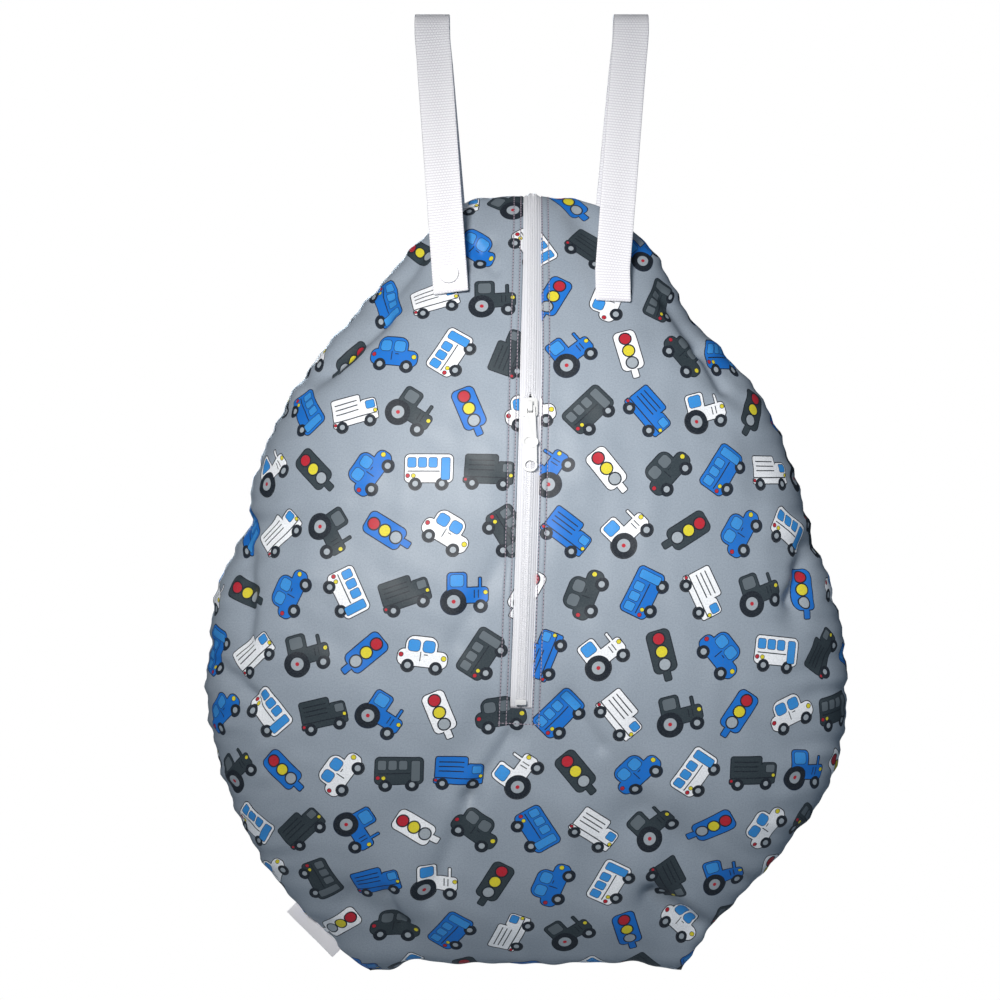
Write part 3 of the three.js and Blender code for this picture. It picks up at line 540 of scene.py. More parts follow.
toys = {
    "car": [
        ("body", 0, -2.5, 18.3, 6.4, 5.2),
        ("body", -1.5, 5.3, 11.8, 8.2, 6.6),
        ("glass", -6.8, 6.2, 4.1, 4.0, 2.4),
        ("glass", 3.7, 6.2, 4.1, 4.0, 2.4),
        ("line", -1.6, -1.2, 0.35, 3.4, 0.3),
        ("line", 2.2, 0.3, 1.4, 0.35, 0.3),
        *wheel(-9.8, -8.2, 5.2, 4.5, 2.2),
        *wheel(10.2, -8.2, 5.2, 4.5, 2.2),
        dot("yellow", 15, -1, 1.6),
        dot("red", -15.4, -1, 1.4),
    ],
    "bus": [
        ("body", 0, 2, 17.6, 10.6, 4),
        ("glass", -12.1, 6.2, 2.9, 3.4, 1.2),
        ("glass", -4.6, 6.2, 2.9, 3.4, 1.2),
        ("glass", 2.9, 6.2, 2.9, 3.4, 1.2),
        ("glass", 11.8, 1.8, 3, 7.8, 1.2),
        ("line", -3.6, 0, 11.4, 0.4, 0.3),
        *wheel(-9.4, -8.8, 5, 4.3, 2),
        *wheel(9.4, -8.8, 5, 4.3, 2),
        dot("red", -14.8, -3.2, 1.3),
        dot("yellow", -10.8, -3.2, 1.3),
    ],
    "truck": [
        ("body", -5.2, 3.4, 12, 8.8, 2.4),
        ("body", 11.6, 0, 6.4, 7.4, 3.2),
        ("body", 0, -6.6, 17.8, 2.6, 1.9),
        ("line", -5.2, 7.6, 9, 0.4, 0.3),
        ("line", -5.2, 4.2, 9, 0.4, 0.3),
        ("line", -5.2, 0.8, 9, 0.4, 0.3),
        ("line", 0, -4.3, 16.8, 0.4, 0.3),
        ("glass", 13, 2.6, 3.2, 2.8, 1.2),
        *wheel(-11, -8.8, 4.9, 4.2, 1.9),
        *wheel(10.6, -8.8, 4.9, 4.2, 1.9),
        dot("red", -15.8, -6.4, 1),
        dot("yellow", 15.8, -2.6, 1.2),
    ],
    "tractor": [
        ("body", 7.4, -1, 9.4, 6, 3.2),
        ("body", -5.5, 6.8, 7.4, 8.8, 3.2),
        ("body", 10.6, 7.6, 1.5, 4.2, 1.2),
        ("glass", -5.5, 9.4, 4.6, 4.1, 1.8),
        ("line", 6.6, -0.2, 0.35, 2.9, 0.3),
        ("line", 9.4, -0.2, 0.35, 2.9, 0.3),
        *wheel(-7.8, -5.2, 9.6, 8.9, 4.6),
        *wheel(11, -8.6, 5.2, 4.5, 2.2),
        dot("red", -7.8, -5.2, 1.4),
        dot("yellow", 14.4, 0.8, 1.4),
    ],
    "signal": [
        ("body", 0, 2.6, 8.8, 15.6, 4.6),
        ("body", 0, -15.4, 3, 3.9, 1.6),
        dot("line", 0, 11.8, 4.9),
        dot("line", 0, 2.4, 4.9),
        dot("line", 0, -7, 4.9),
        dot("red", 0, 11.8, 3.9),
        dot("yellow", 0, 2.4, 3.9),
        dot("light", 0, -7, 3.9),
    ],
}
print_cell = (42, 43)
print_repeat = (6, 5)
print_start = (7, 12)
print_seed = 17.0
print_turn = 2.6
row_shift = 3.0
ink_count = 3.0
out_of_sight = 100.0
outline_width = 0.75
detail_outline = 0.4
print_edge = 0.12
ink = {
    "ground": (0.305, 0.350, 0.408),
    "blue": (0.007, 0.160, 0.590),
    "white": (0.90, 0.91, 0.94),
    "charcoal": (0.030, 0.043, 0.052),
    "line": (0.010, 0.014, 0.022),
    "sky": (0.040, 0.28, 0.70),
    "grey": (0.12, 0.145, 0.165),
    "light": (0.36, 0.40, 0.44),
    "red": (0.48, 0.015, 0.03),
    "yellow": (0.72, 0.62, 0.03),
}


def calc(tree, operation, *values, clamp=False):
    """One Math node; a value is a number or another node's output."""
    node = tree.nodes.new("ShaderNodeMath")
    node.operation = operation
    node.use_clamp = clamp
    join(tree, node, values)
    return node.outputs[0]


def vector_calc(tree, operation, *values):
    node = tree.nodes.new("ShaderNodeVectorMath")
    node.operation = operation
    join(tree, node, values)
    return node.outputs["Value" if operation in ("LENGTH", "DISTANCE", "DOT_PRODUCT") else "Vector"]


def join(tree, node, values):
    for socket, value in zip(node.inputs, values):
        if isinstance(value, bpy.types.NodeSocket):
            tree.links.new(value, socket)
        elif value is not None:
            socket.default_value = value


def mixed(tree, share, first, second):
    """A colour between two others; each is a colour or another node's output."""
    node = tree.nodes.new("ShaderNodeMix")
    node.data_type = "RGBA"
    for socket, value in ((node.inputs[0], share), (node.inputs[6], first), (node.inputs[7], second)):
        if isinstance(value, bpy.types.NodeSocket):
            tree.links.new(value, socket)
        else:
            socket.default_value = (*value, 1) if isinstance(value, tuple) else value
    return node.outputs[2]


def new_group(name, inputs, outputs):
    tree = bpy.data.node_groups.new(name, "ShaderNodeTree")
    for label, kind in inputs:
        tree.interface.new_socket(label, in_out="INPUT", socket_type=kind)
    for label, kind in outputs:
        tree.interface.new_socket(label, in_out="OUTPUT", socket_type=kind)
    return tree, tree.nodes.new("NodeGroupInput"), tree.nodes.new("NodeGroupOutput")


FLOAT = "NodeSocketFloat"
VECTOR = "NodeSocketVector"
COLOR = "NodeSocketColor"

patch, patch_in, patch_out = new_group(
    "rounded_patch",
    [("Point", VECTOR), ("Centre", VECTOR), ("Core", VECTOR), ("Corner", FLOAT)],
    [("Distance", FLOAT)],
)
from_centre = vector_calc(patch, "SUBTRACT", patch_in.outputs["Point"], patch_in.outputs["Centre"])
past_core = vector_calc(patch, "ABSOLUTE", from_centre)
past_core = vector_calc(patch, "SUBTRACT", past_core, patch_in.outputs["Core"])
beyond = vector_calc(patch, "LENGTH", vector_calc(patch, "MAXIMUM", past_core, (0, 0, 0)))
patch.links.new(calc(patch, "SUBTRACT", beyond, patch_in.outputs["Corner"]), patch_out.inputs[0])

toy_print, print_in, print_out = new_group("toy_print", [("Flat cloth", VECTOR)], [("Color", COLOR)])
flat_mm = vector_calc(toy_print, "SCALE", print_in.outputs[0])
flat_mm.node.inputs["Scale"].default_value = 1 / MM
split = toy_print.nodes.new("ShaderNodeSeparateXYZ")
toy_print.links.new(flat_mm, split.inputs[0])
flat_x = calc(toy_print, "ADD", split.outputs[0], float(print_start[0]))
flat_y = calc(toy_print, "ADD", split.outputs[1], float(print_start[1]))
row = calc(toy_print, "FLOOR", calc(toy_print, "DIVIDE", flat_y, print_cell[1]))
stagger = calc(toy_print, "FLOORED_MODULO", row, row_shift)
stagger = calc(toy_print, "MULTIPLY", stagger, print_cell[0] / row_shift)
shifted = calc(toy_print, "ADD", flat_x, stagger)
column = calc(toy_print, "FLOOR", calc(toy_print, "DIVIDE", shifted, print_cell[0]))
cell_x = calc(toy_print, "MULTIPLY", calc(toy_print, "ADD", column, 0.5), print_cell[0])
cell_y = calc(toy_print, "MULTIPLY", calc(toy_print, "ADD", row, 0.5), print_cell[1])
local_x = calc(toy_print, "SUBTRACT", shifted, cell_x)
local_y = calc(toy_print, "SUBTRACT", flat_y, cell_y)
cell_name = toy_print.nodes.new("ShaderNodeCombineXYZ")
join(toy_print, cell_name, [
    calc(toy_print, "FLOORED_MODULO", column, float(print_repeat[0])),
    calc(toy_print, "FLOORED_MODULO", row, float(print_repeat[1])),
    print_seed,
])
chance = toy_print.nodes.new("ShaderNodeTexWhiteNoise")
chance.noise_dimensions = "3D"
toy_print.links.new(cell_name.outputs[0], chance.inputs["Vector"])
here = toy_print.nodes.new("ShaderNodeCombineXYZ")
join(toy_print, here, [local_x, local_y, 0.0])
turned = toy_print.nodes.new("ShaderNodeVectorRotate")
turned.rotation_type = "Z_AXIS"
toy_print.links.new(here.outputs[0], turned.inputs["Vector"])
angle = calc(toy_print, "MULTIPLY_ADD", chance.outputs["Value"], print_turn, -print_turn / 2)
toy_print.links.new(angle, turned.inputs["Angle"])
toy_kind = calc(toy_print, "MULTIPLY_ADD", row, 2.0, column)
toy_kind = calc(toy_print, "FLOORED_MODULO", toy_kind, float(len(toys)))
ink_kind = calc(toy_print, "FLOORED_MODULO", calc(toy_print, "ADD", row, column), ink_count)

layers = {}
for number, table in enumerate(toys.values()):
    chosen_toy = calc(toy_print, "COMPARE", toy_kind, float(number), 0.5)
    other = calc(toy_print, "MULTIPLY_ADD", chosen_toy, -out_of_sight, out_of_sight)
    for layer in ("body", "glass", "line", "light", "red", "yellow"):
        nearest = None
        for x, y, half_width, half_height, corner in (row[1:] for row in table if row[0] == layer):
            node = toy_print.nodes.new("ShaderNodeGroup")
            node.node_tree = patch
            core = (half_width - corner, half_height - corner, 0)
            join(toy_print, node, [turned.outputs[0], (x, y, 0), core, float(corner)])
            distance = node.outputs[0]
            nearest = distance if nearest is None else calc(toy_print, "MINIMUM", nearest, distance)
        if nearest is not None:
            nearest = calc(toy_print, "ADD", nearest, other)
            if layer in layers:
                nearest = calc(toy_print, "MINIMUM", layers[layer], nearest)
            layers[layer] = nearest


def filled(distance):
    return calc(toy_print, "MULTIPLY_ADD", distance, -1 / print_edge, 0.5, clamp=True)


outline = calc(toy_print, "ABSOLUTE", calc(toy_print, "ADD", layers["body"], outline_width / 2))
outline = calc(toy_print, "SUBTRACT", outline, outline_width / 2)
is_white = calc(toy_print, "COMPARE", ink_kind, 1.0, 0.5)
is_charcoal = calc(toy_print, "COMPARE", ink_kind, 2.0, 0.5)
body_ink = mixed(toy_print, is_white, ink["blue"], ink["white"])
body_ink = mixed(toy_print, is_charcoal, body_ink, ink["charcoal"])
glass_ink = mixed(toy_print, is_charcoal, ink["sky"], ink["grey"])
shown = mixed(toy_print, filled(layers["body"]), ink["ground"], body_ink)
lines = calc(toy_print, "MINIMUM", layers["line"], outline)
for layer in ("glass", "red", "yellow"):
    lines = calc(toy_print, "MINIMUM", lines, calc(toy_print, "SUBTRACT", layers[layer], detail_outline))
shown = mixed(toy_print, filled(lines), shown, ink["line"])
shown = mixed(toy_print, filled(layers["glass"]), shown, glass_ink)
for layer in ("light", "yellow", "red"):
    shown = mixed(toy_print, filled(layers[layer]), shown, ink[layer])
toy_print.links.new(shown, print_out.inputs[0])


def new_finish(name, roughness, **values):
    """A material with its Principled shader set by socket name, and that shader."""
    finish = bpy.data.materials.new(name)
    finish.use_nodes = True
    shader = finish.node_tree.nodes["Principled BSDF"]
    shader.inputs["Roughness"].default_value = roughness
    for label, value in values.items():
        shader.inputs[label.replace("_", " ")].default_value = value
    return finish, finish.node_tree, shader


def bumped(tree, shader, height, depth, strength=1.0):
    """A Bump node from a height in metres times depth, feeding the shader's normal."""
    bump = tree.nodes.new("ShaderNodeBump")
    bump.inputs["Strength"].default_value = strength
    bump.inputs["Distance"].default_value = depth
    tree.links.new(height, bump.inputs["Height"])
    tree.links.new(bump.outputs[0], shader.inputs["Normal"])


def noise(tree, point, scale, detail=2, roughness=0.5):
    """A noise texture's grey value."""
    node = tree.nodes.new("ShaderNodeTexNoise")
    node.inputs["Scale"].default_value = scale
    node.inputs["Detail"].default_value = detail
    node.inputs["Roughness"].default_value = roughness
    tree.links.new(point, node.inputs["Vector"])
    return node.outputs["Fac"]


def uv_point(tree, name):
    node = tree.nodes.new("ShaderNodeUVMap")
    node.uv_map = name
    return node.outputs[0]


def bell(tree, value):
    """One where the value is nought, falling away on both sides."""
    return calc(tree, "EXPONENT", calc(tree, "MULTIPLY", calc(tree, "MULTIPLY", value, value), -1.0))


def grained(name, roughness, scale, shades, bump=None, gloss=None, **values):
    """A plain finish whose shade, and relief and roughness if given, vary with a fine noise."""
    finish, tree, shader = new_finish(name, roughness, **values)
    place = tree.nodes.new("ShaderNodeTexCoord")
    grain = noise(tree, place.outputs["Object"], scale)
    tree.links.new(mixed(tree, grain, *shades), shader.inputs["Base Color"])
    if bump:
        bumped(tree, shader, grain, *bump)
    if gloss:
        tree.links.new(calc(tree, "MULTIPLY_ADD", grain, *gloss), shader.inputs["Roughness"])
    return finish


knit_noise = {"scale": 850, "detail": 3, "roughness": 0.75}
crinkle_noise = {"scale": 55, "detail": 3}
cloth_relief = 0.6 * MM
knit_relief = 0.05
crinkle_relief = 0.55
groove_relief = -0.5
groove_half_width = 0.9
# Painted shade along the stitch grooves: how much of it, and its near-black colour.
groove_shadow = 0.16
groove_shadow_color = (0.05, 0.05, 0.06)
speckle_span = 0.9
speckle_start = -0.36
speckle_color = (0.10, 0.115, 0.13)
cloth_gloss = (0.12, 0.40)


def printed_cloth():
    finish, tree, shader = new_finish("printed_laminated_knit", 0.5, Specular_IOR_Level=0.2)
    cloth_point = uv_point(tree, "flat_cloth")
    print_node = tree.nodes.new("ShaderNodeGroup")
    print_node.node_tree = toy_print
    tree.links.new(cloth_point, print_node.inputs[0])
    knit = noise(tree, cloth_point, **knit_noise)
    crinkle = noise(tree, cloth_point, **crinkle_noise)
    from_slot = tree.nodes.new("ShaderNodeAttribute")
    from_slot.attribute_name = "from_slot"
    from_slot_mm = calc(tree, "MULTIPLY", from_slot.outputs["Fac"], 1 / MM)
    groove = None
    for side, row_place in stitch_rows:
        away = calc(tree, "SUBTRACT", from_slot_mm, side * row_place / MM)
        dip = bell(tree, calc(tree, "DIVIDE", away, groove_half_width))
        groove = dip if groove is None else calc(tree, "ADD", groove, dip)
    height = calc(tree, "MULTIPLY_ADD", knit, knit_relief, calc(tree, "MULTIPLY", crinkle, crinkle_relief))
    height = calc(tree, "MULTIPLY_ADD", groove, groove_relief, height)
    bumped(tree, shader, height, cloth_relief)
    # Painted shade: the cloth's colour darkens towards near-black along each stitch row's groove.
    shadow = calc(tree, "MULTIPLY", groove, groove_shadow, clamp=True)
    shade = mixed(tree, shadow, print_node.outputs[0], groove_shadow_color)
    speckle = calc(tree, "MULTIPLY_ADD", knit, speckle_span, speckle_start, clamp=True)
    tree.links.new(mixed(tree, speckle, shade, speckle_color), shader.inputs["Base Color"])
    tree.links.new(calc(tree, "MULTIPLY_ADD", crinkle, *cloth_gloss), shader.inputs["Roughness"])
    return finish


stitch_rows = ((-1, 2.1 * MM), (-1, 7.0 * MM), (1, 0.9 * MM), (1, 5.4 * MM))
end_row_drop = 11 * MM
panel_step = 3.1 * MM
back_step = 4.4 * MM
cloth_finish = printed_cloth()

front_places = even_places(FRONT, panel_step)
nearest_row = int(np.argmin(np.abs(front_places - zip_end_place)))
front_places[nearest_row] = zip_end_place
front_columns = grid_columns(front_places, even_shares(panel_step))
slot_column = front_columns.shape[1] // 2


def outside_slot(i, j):
    return ~(((j == slot_column - 1) | (j == slot_column)) & (i >= nearest_row))


front_mesh = cloth_mesh("front_cloth", FRONT, front_places, front_columns, outside_slot, True)
add_piece("front_cloth", front_mesh, cloth_finish, "bag", ["front_panel"])

back_places = even_places(BACK, back_step)
back_columns = grid_columns(back_places, even_shares(back_step))
back_mesh = cloth_mesh("back_cloth", BACK, back_places, back_columns, lambda i, j: i >= 0, False)
add_piece("back_cloth", back_mesh, cloth_finish, "bag", ["back_panel"])

# Zip tapes
# Two white polyester tapes behind the slot, woven with fine ribs along their length. The cloth's
# turned edges are topstitched to them, and each carries one row of the coil along its inner edge.
tape_half_width = 15 * MM
tape_thickness = 0.8 * MM
tape_behind = 1.6 * MM
tape_tail = 8 * MM
coil_half_width = 3.4 * MM
coil_proud = 0.5 * MM
coil_gap = 0.5 * MM
clearance = 0.4 * MM
slider_drop = 0.1495
slider_length = 14 * MM
neck_width = 2 * MM
neck_length = 3 * MM
stop_height = 3.8 * MM
stop_rise = 5 * MM
coil_end = top_seam - zip_length + stop_rise - stop_height / 2
tape_end_place = place_at(FRONT, zip_end_x, top_seam - zip_length - tape_tail)


def coil_parting(height):
    """How far each row of coil stands from the zip's line; the rows part round the slider's neck."""
    neck_middle = top_seam - slider_drop + slider_length / 2 - neck_length / 2
    away = (height - neck_middle) / (neck_length * parting_reach)
    return coil_gap / 2 + (neck_width / 2 + parting_room * clearance) * np.exp(-(away**2))


loft_crease = math.radians(50)
parting_reach = 1.2
parting_room = 1.5
rib_pitch = 1.5 * MM
pick_pitch = 1.1 * MM
rib_relief = 0.5
pick_relief = 0.25
tape_relief = 0.14 * MM
tape_shades = ((0.72, 0.72, 0.75), (0.59, 0.59, 0.64))
# A painted shadow on the tape: a dark line across it where the slot's end lies over it.
edge_shadow = 0.8 * MM
edge_shadow_strength = 0.8
edge_shadow_color = (0.12, 0.12, 0.15)


def ribbed_tape():
    finish, tree, shader = new_finish("zip_tape_weave", 0.62, Sheen_Weight=0.15)
    parts = tree.nodes.new("ShaderNodeSeparateXYZ")
    tree.links.new(uv_point(tree, "tape"), parts.inputs[0])
    ribs = calc(tree, "SINE", calc(tree, "MULTIPLY", parts.outputs[0], 2 * math.pi / rib_pitch))
    picks = calc(tree, "SINE", calc(tree, "MULTIPLY", parts.outputs[1], 2 * math.pi / pick_pitch))
    weave = calc(tree, "MULTIPLY_ADD", ribs, rib_relief, calc(tree, "MULTIPLY", picks, pick_relief))
    bumped(tree, shader, weave, tape_relief)
    shade = mixed(tree, calc(tree, "MULTIPLY_ADD", ribs, 0.25, 0.3, clamp=True), *tape_shades)
    # Painted shadow: the tape darkens in a narrow band at the slot's end.
    from_edge = calc(tree, "DIVIDE", calc(tree, "SUBTRACT", parts.outputs[1], tape_tail), edge_shadow)
    shadow = calc(tree, "MULTIPLY", bell(tree, from_edge), edge_shadow_strength)
    tree.links.new(mixed(tree, shadow, shade, edge_shadow_color), shader.inputs["Base Color"])
    return finish


def lofted_mesh(name, rings, uv_name, uv):
    """A closed skin through equal rings of points (rings, corners, 3), with a UV for every point."""
    count, corners = rings.shape[:2]
    index = np.arange(count * corners).reshape(count, corners)
    following = np.roll(index, -1, axis=1)
    faces = np.stack([index[:-1], following[:-1], following[1:], index[1:]], -1).reshape(-1, 4).tolist()
    faces += [index[0][::-1].tolist(), index[-1].tolist()]
    mesh = bpy.data.meshes.new(name)
    mesh.from_pydata(rings.reshape(-1, 3).tolist(), [], faces)
    loops = np.zeros(len(mesh.loops), int)
    mesh.loops.foreach_get("vertex_index", loops)
    mesh.uv_layers.new(name=uv_name).data.foreach_set("uv", uv.reshape(-1, 2)[loops].ravel())
    mesh.polygons.foreach_set("use_smooth", np.ones(len(mesh.polygons), bool))
    shaped = bmesh.new()
    shaped.from_mesh(mesh)
    bmesh.ops.recalc_face_normals(shaped, faces=shaped.faces)
    shaped.to_mesh(mesh)
    shaped.free()
    mesh.set_sharp_from_angle(angle=loft_crease)
    return mesh


def lengths_along(points):
    run = np.linalg.norm(np.diff(points, axis=0), axis=-1)
    return np.concatenate([[0], np.cumsum(run)])


def zip_places(step, low_place, high_place):
    """Section places between two places, a step apart along the zip's line."""
    dense = np.linspace(low_place, high_place, zip_dense_count)
    run = lengths_along(off_skin(FRONT, zip_line(dense)[0], dense, np.zeros(zip_dense_count))[0])
    return np.interp(np.linspace(0, run[-1], int(round(run[-1] / step)) + 1), run, dense)


tape_finish = ribbed_tape()
tape_step = 3 * MM
tape_shares = np.linspace(0, 1, 20)
band_half_width = 7.4 * MM
band_crown = 1.7 * MM
crown_fade = 18 * MM
end_rise = 7 * MM
hidden_tail = 0.6 * MM
end_start = 1 * MM
slider_press = 13 * MM
press_share = 0.8
zip_dense_count = 3000


def band_rise(offset, height):
    """How far the closed zip's face stands in front of the cloth, pushed out by what fills the bag."""
    from_end = smooth_step((height - (top_seam - zip_length)) / crown_fade)
    pressed = np.exp(-(((height - (top_seam - slider_drop)) / slider_press) ** 4))
    out = smooth_step((height - (top_seam - zip_length - end_start)) / end_rise)
    crown = band_crown * from_end * (1 - press_share * pressed)
    arch = np.clip(1 - (offset / band_half_width) ** 2, 0, 1)
    return -tape_behind + (tape_behind * out + crown) * arch - hidden_tail * (1 - out)


def tape_mesh(name, side):
    places = zip_places(tape_step, tape_end_place, last_place - 0.01)
    x, _ = zip_line(places)
    middle, _ = off_skin(FRONT, x, places, np.zeros(len(places)))
    start = coil_parting(middle[:, 2])
    offsets = start[:, None] + (tape_half_width - start)[:, None] * tape_shares[None, :]
    spread = x[:, None] + side * offsets
    grid = np.repeat(places[:, None], len(tape_shares), 1)
    rise = band_rise(offsets, middle[:, 2:3])
    front, _ = off_skin(FRONT, spread, grid, rise)
    back, _ = off_skin(FRONT, spread, grid, rise - tape_thickness)
    rings = np.concatenate([front, back[:, ::-1]], 1)
    along = lengths_along(middle)
    u = np.concatenate([offsets, offsets[:, ::-1]], 1)
    uv = np.stack([u, np.repeat(along[:, None], u.shape[1], 1)], -1)
    return lofted_mesh(name, rings, "tape", uv)


for side, label in ((-1, "left"), (1, "right")):
    mesh = tape_mesh(f"tape_{label}", side)
    add_piece(f"tape_{label}", mesh, tape_finish, "bag", [f"zip_tape_{label}"])

# Zip coil
# A white nylon coil along each tape's inner edge, in close turns that mesh along the zip's line. Two
# rows of chain stitch in white thread run over each coil and hold it to its tape.
coil_pitch = 1.25 * MM
coil_end_rows = (6.0, 7.0)
turn_radius = 0.42 * MM
coil_cover = -0.22 * MM
cord_rows = (1.3 * MM, 2.9 * MM)
cord_cover = 0.12 * MM
cord_radius = 0.36 * MM
tube_sides = 6


def repeat_tree():
    """Geometry nodes that repeat a piece along a line, turned to face out of the cloth."""
    tree = bpy.data.node_groups.new("repeat_along_line", "GeometryNodeTree")
    for label, kind in (
        ("Line", "NodeSocketGeometry"),
        ("Piece", "NodeSocketObject"),
        ("Pitch", "NodeSocketFloat"),
        ("Finish", "NodeSocketMaterial"),
    ):
        tree.interface.new_socket(label, in_out="INPUT", socket_type=kind)
    tree.interface.new_socket("Row", in_out="OUTPUT", socket_type="NodeSocketGeometry")
    given = tree.nodes.new("NodeGroupInput")
    result = tree.nodes.new("NodeGroupOutput")
    curve = tree.nodes.new("GeometryNodeMeshToCurve")
    tree.links.new(given.outputs["Line"], curve.inputs[0])
    points = tree.nodes.new("GeometryNodeCurveToPoints")
    points.mode = "LENGTH"
    tree.links.new(curve.outputs[0], points.inputs["Curve"])
    tree.links.new(given.outputs["Pitch"], points.inputs["Length"])
    facing = tree.nodes.new("GeometryNodeInputNamedAttribute")
    facing.data_type = "FLOAT_VECTOR"
    facing.inputs["Name"].default_value = "facing"
    turn = tree.nodes.new("FunctionNodeAxesToRotation")
    turn.primary_axis = "Z"
    turn.secondary_axis = "Y"
    tree.links.new(facing.outputs["Attribute"], turn.inputs["Primary Axis"])
    tree.links.new(points.outputs["Tangent"], turn.inputs["Secondary Axis"])
    shape = tree.nodes.new("GeometryNodeObjectInfo")
    tree.links.new(given.outputs["Piece"], shape.inputs["Object"])
    placed = tree.nodes.new("GeometryNodeInstanceOnPoints")
    tree.links.new(points.outputs["Points"], placed.inputs["Points"])
    tree.links.new(shape.outputs["Geometry"], placed.inputs["Instance"])
    tree.links.new(turn.outputs[0], placed.inputs["Rotation"])
    real = tree.nodes.new("GeometryNodeRealizeInstances")
    tree.links.new(placed.outputs[0], real.inputs[0])
    painted = tree.nodes.new("GeometryNodeSetMaterial")
    tree.links.new(real.outputs[0], painted.inputs["Geometry"])
    tree.links.new(given.outputs["Finish"], painted.inputs["Material"])
    tree.links.new(painted.outputs[0], result.inputs[0])
    return tree


repeat_along_line = repeat_tree()


def repeated(name, lines, piece_mesh, pitch, finish):
    """A plain mesh of a piece repeated along lines; each line is its points and outward directions."""
    points = np.concatenate([line for line, _ in lines])
    facing = np.concatenate([out for _, out in lines])
    edges = []
    start = 0
    for line, _ in lines:
        edges += [(start + i, start + i + 1) for i in range(len(line) - 1)]
        start += len(line)
    guide_mesh = bpy.data.meshes.new(name + "_line")
    guide_mesh.from_pydata(points.tolist(), edges, [])
    guide_mesh.attributes.new("facing", "FLOAT_VECTOR", "POINT").data.foreach_set("vector", facing.ravel())
    guide = bpy.data.objects.new(name + "_line", guide_mesh)
    shape = bpy.data.objects.new(name + "_shape", piece_mesh)
    scene.collection.objects.link(guide)
    scene.collection.objects.link(shape)
    modifier = guide.modifiers.new("row", "NODES")
    modifier.node_group = repeat_along_line
    values = {"Piece": shape, "Pitch": pitch, "Finish": finish}
    for socket in repeat_along_line.interface.items_tree:
        if socket.name in values:
            modifier[socket.identifier] = values[socket.name]
    graph = bpy.context.evaluated_depsgraph_get()
    mesh = bpy.data.meshes.new_from_object(guide.evaluated_get(graph))
    bpy.data.objects.remove(guide)
    bpy.data.objects.remove(shape)
    mesh.name = name
    return mesh


def tube_mesh(name, centres, radius):
    """A closed tube through a few points."""
    centres = np.asarray(centres, float)
    run = unit(np.gradient(centres, axis=0))
    helper = np.where(np.abs(run[:, 2:3]) > 0.8, np.array((1.0, 0, 0)), np.array((0, 0, 1.0)))
    first = unit(np.cross(run, helper))
    second = np.cross(run, first)
    turns = np.linspace(0, 2 * math.pi, tube_sides, endpoint=False)
    radius = np.broadcast_to(np.asarray(radius, float), (len(centres),))
    circle = np.cos(turns)[None, :, None] * first[:, None] + np.sin(turns)[None, :, None] * second[:, None]
    rings = centres[:, None] + circle * radius[:, None, None]
    return lofted_mesh(name, rings, "tube", np.zeros((*rings.shape[:2], 2)))


nylon_finish = grained(
    "zip_nylon", 0.34, 900, ((0.66, 0.66, 0.68), (0.57, 0.57, 0.61)),
    gloss=(0.14, 0.28), Subsurface_Weight=0.1, Subsurface_Radius=(0.001, 0.001, 0.001),
)
coil_low_place = place_at(FRONT, zip_end_x, coil_end)


def coil_line(side, offset, cover):
    """A line along one coil, at an offset from the row's inner edge and a height over the band."""
    places = zip_places(2 * MM, coil_low_place, last_place - 0.02)
    if side > 0:
        places = zip_places(2 * MM, coil_low_place + half_pitch_share, last_place - 0.02)
    x, _ = zip_line(places)
    middle, _ = off_skin(FRONT, x, places, np.zeros(len(places)))
    away = coil_parting(middle[:, 2]) + offset
    rise = band_rise(away, middle[:, 2]) + cover
    points, _ = off_skin(FRONT, x + side * away, places, rise)
    _, facing = off_skin(FRONT, x, places, rise)
    return points, facing


low_row, high_row = (section_at(np.array(row))[0] for row in coil_end_rows)
half_pitch_share = 0.5 * coil_pitch / (seam_height * (high_row - low_row))
reach = coil_half_width - turn_radius
for side, label in ((-1, "left"), (1, "right")):
    bow = [
        (side * reach, -0.3 * MM, -0.85 * MM),
        (side * reach * 0.93, -0.2 * MM, -0.4 * MM),
        (side * reach * 0.7, 0, -0.15 * MM),
        (side * reach * 0.35, 0.15 * MM, 0),
        (side * 0.1 * MM, 0.3 * MM, 0),
        (-side * 0.55 * MM, 0.4 * MM, -0.2 * MM),
    ]
    turn_mesh = tube_mesh("coil_turn", bow, turn_radius)
    coil_lines = [coil_line(side, 0, coil_cover)]
    coil_mesh = repeated(f"coil_{label}", coil_lines, turn_mesh, coil_pitch, nylon_finish)
    add_piece(f"coil_{label}", coil_mesh, None, "bag")
    cords = [
        tube_mesh("cord", coil_line(side, offset, cord_cover)[0], cord_radius)
        for offset in cord_rows
    ]
    joined = bmesh.new()
    for cord in cords:
        joined.from_mesh(cord)
    cord_mesh = bpy.data.meshes.new(f"coil_thread_{label}")
    joined.to_mesh(cord_mesh)
    joined.free()
    add_piece(f"coil_thread_{label}", cord_mesh, nylon_finish, "bag")

# Slider, pull and bottom stop
# Cast zinc parts under thick white enamel: a slider with an arch on its front, a long pull whose eye
# turns under the arch, and a small clip pressed over the coil's end.


rounded_from = math.radians(28)
cast_crease = math.radians(40)
edge_profile = 0.6


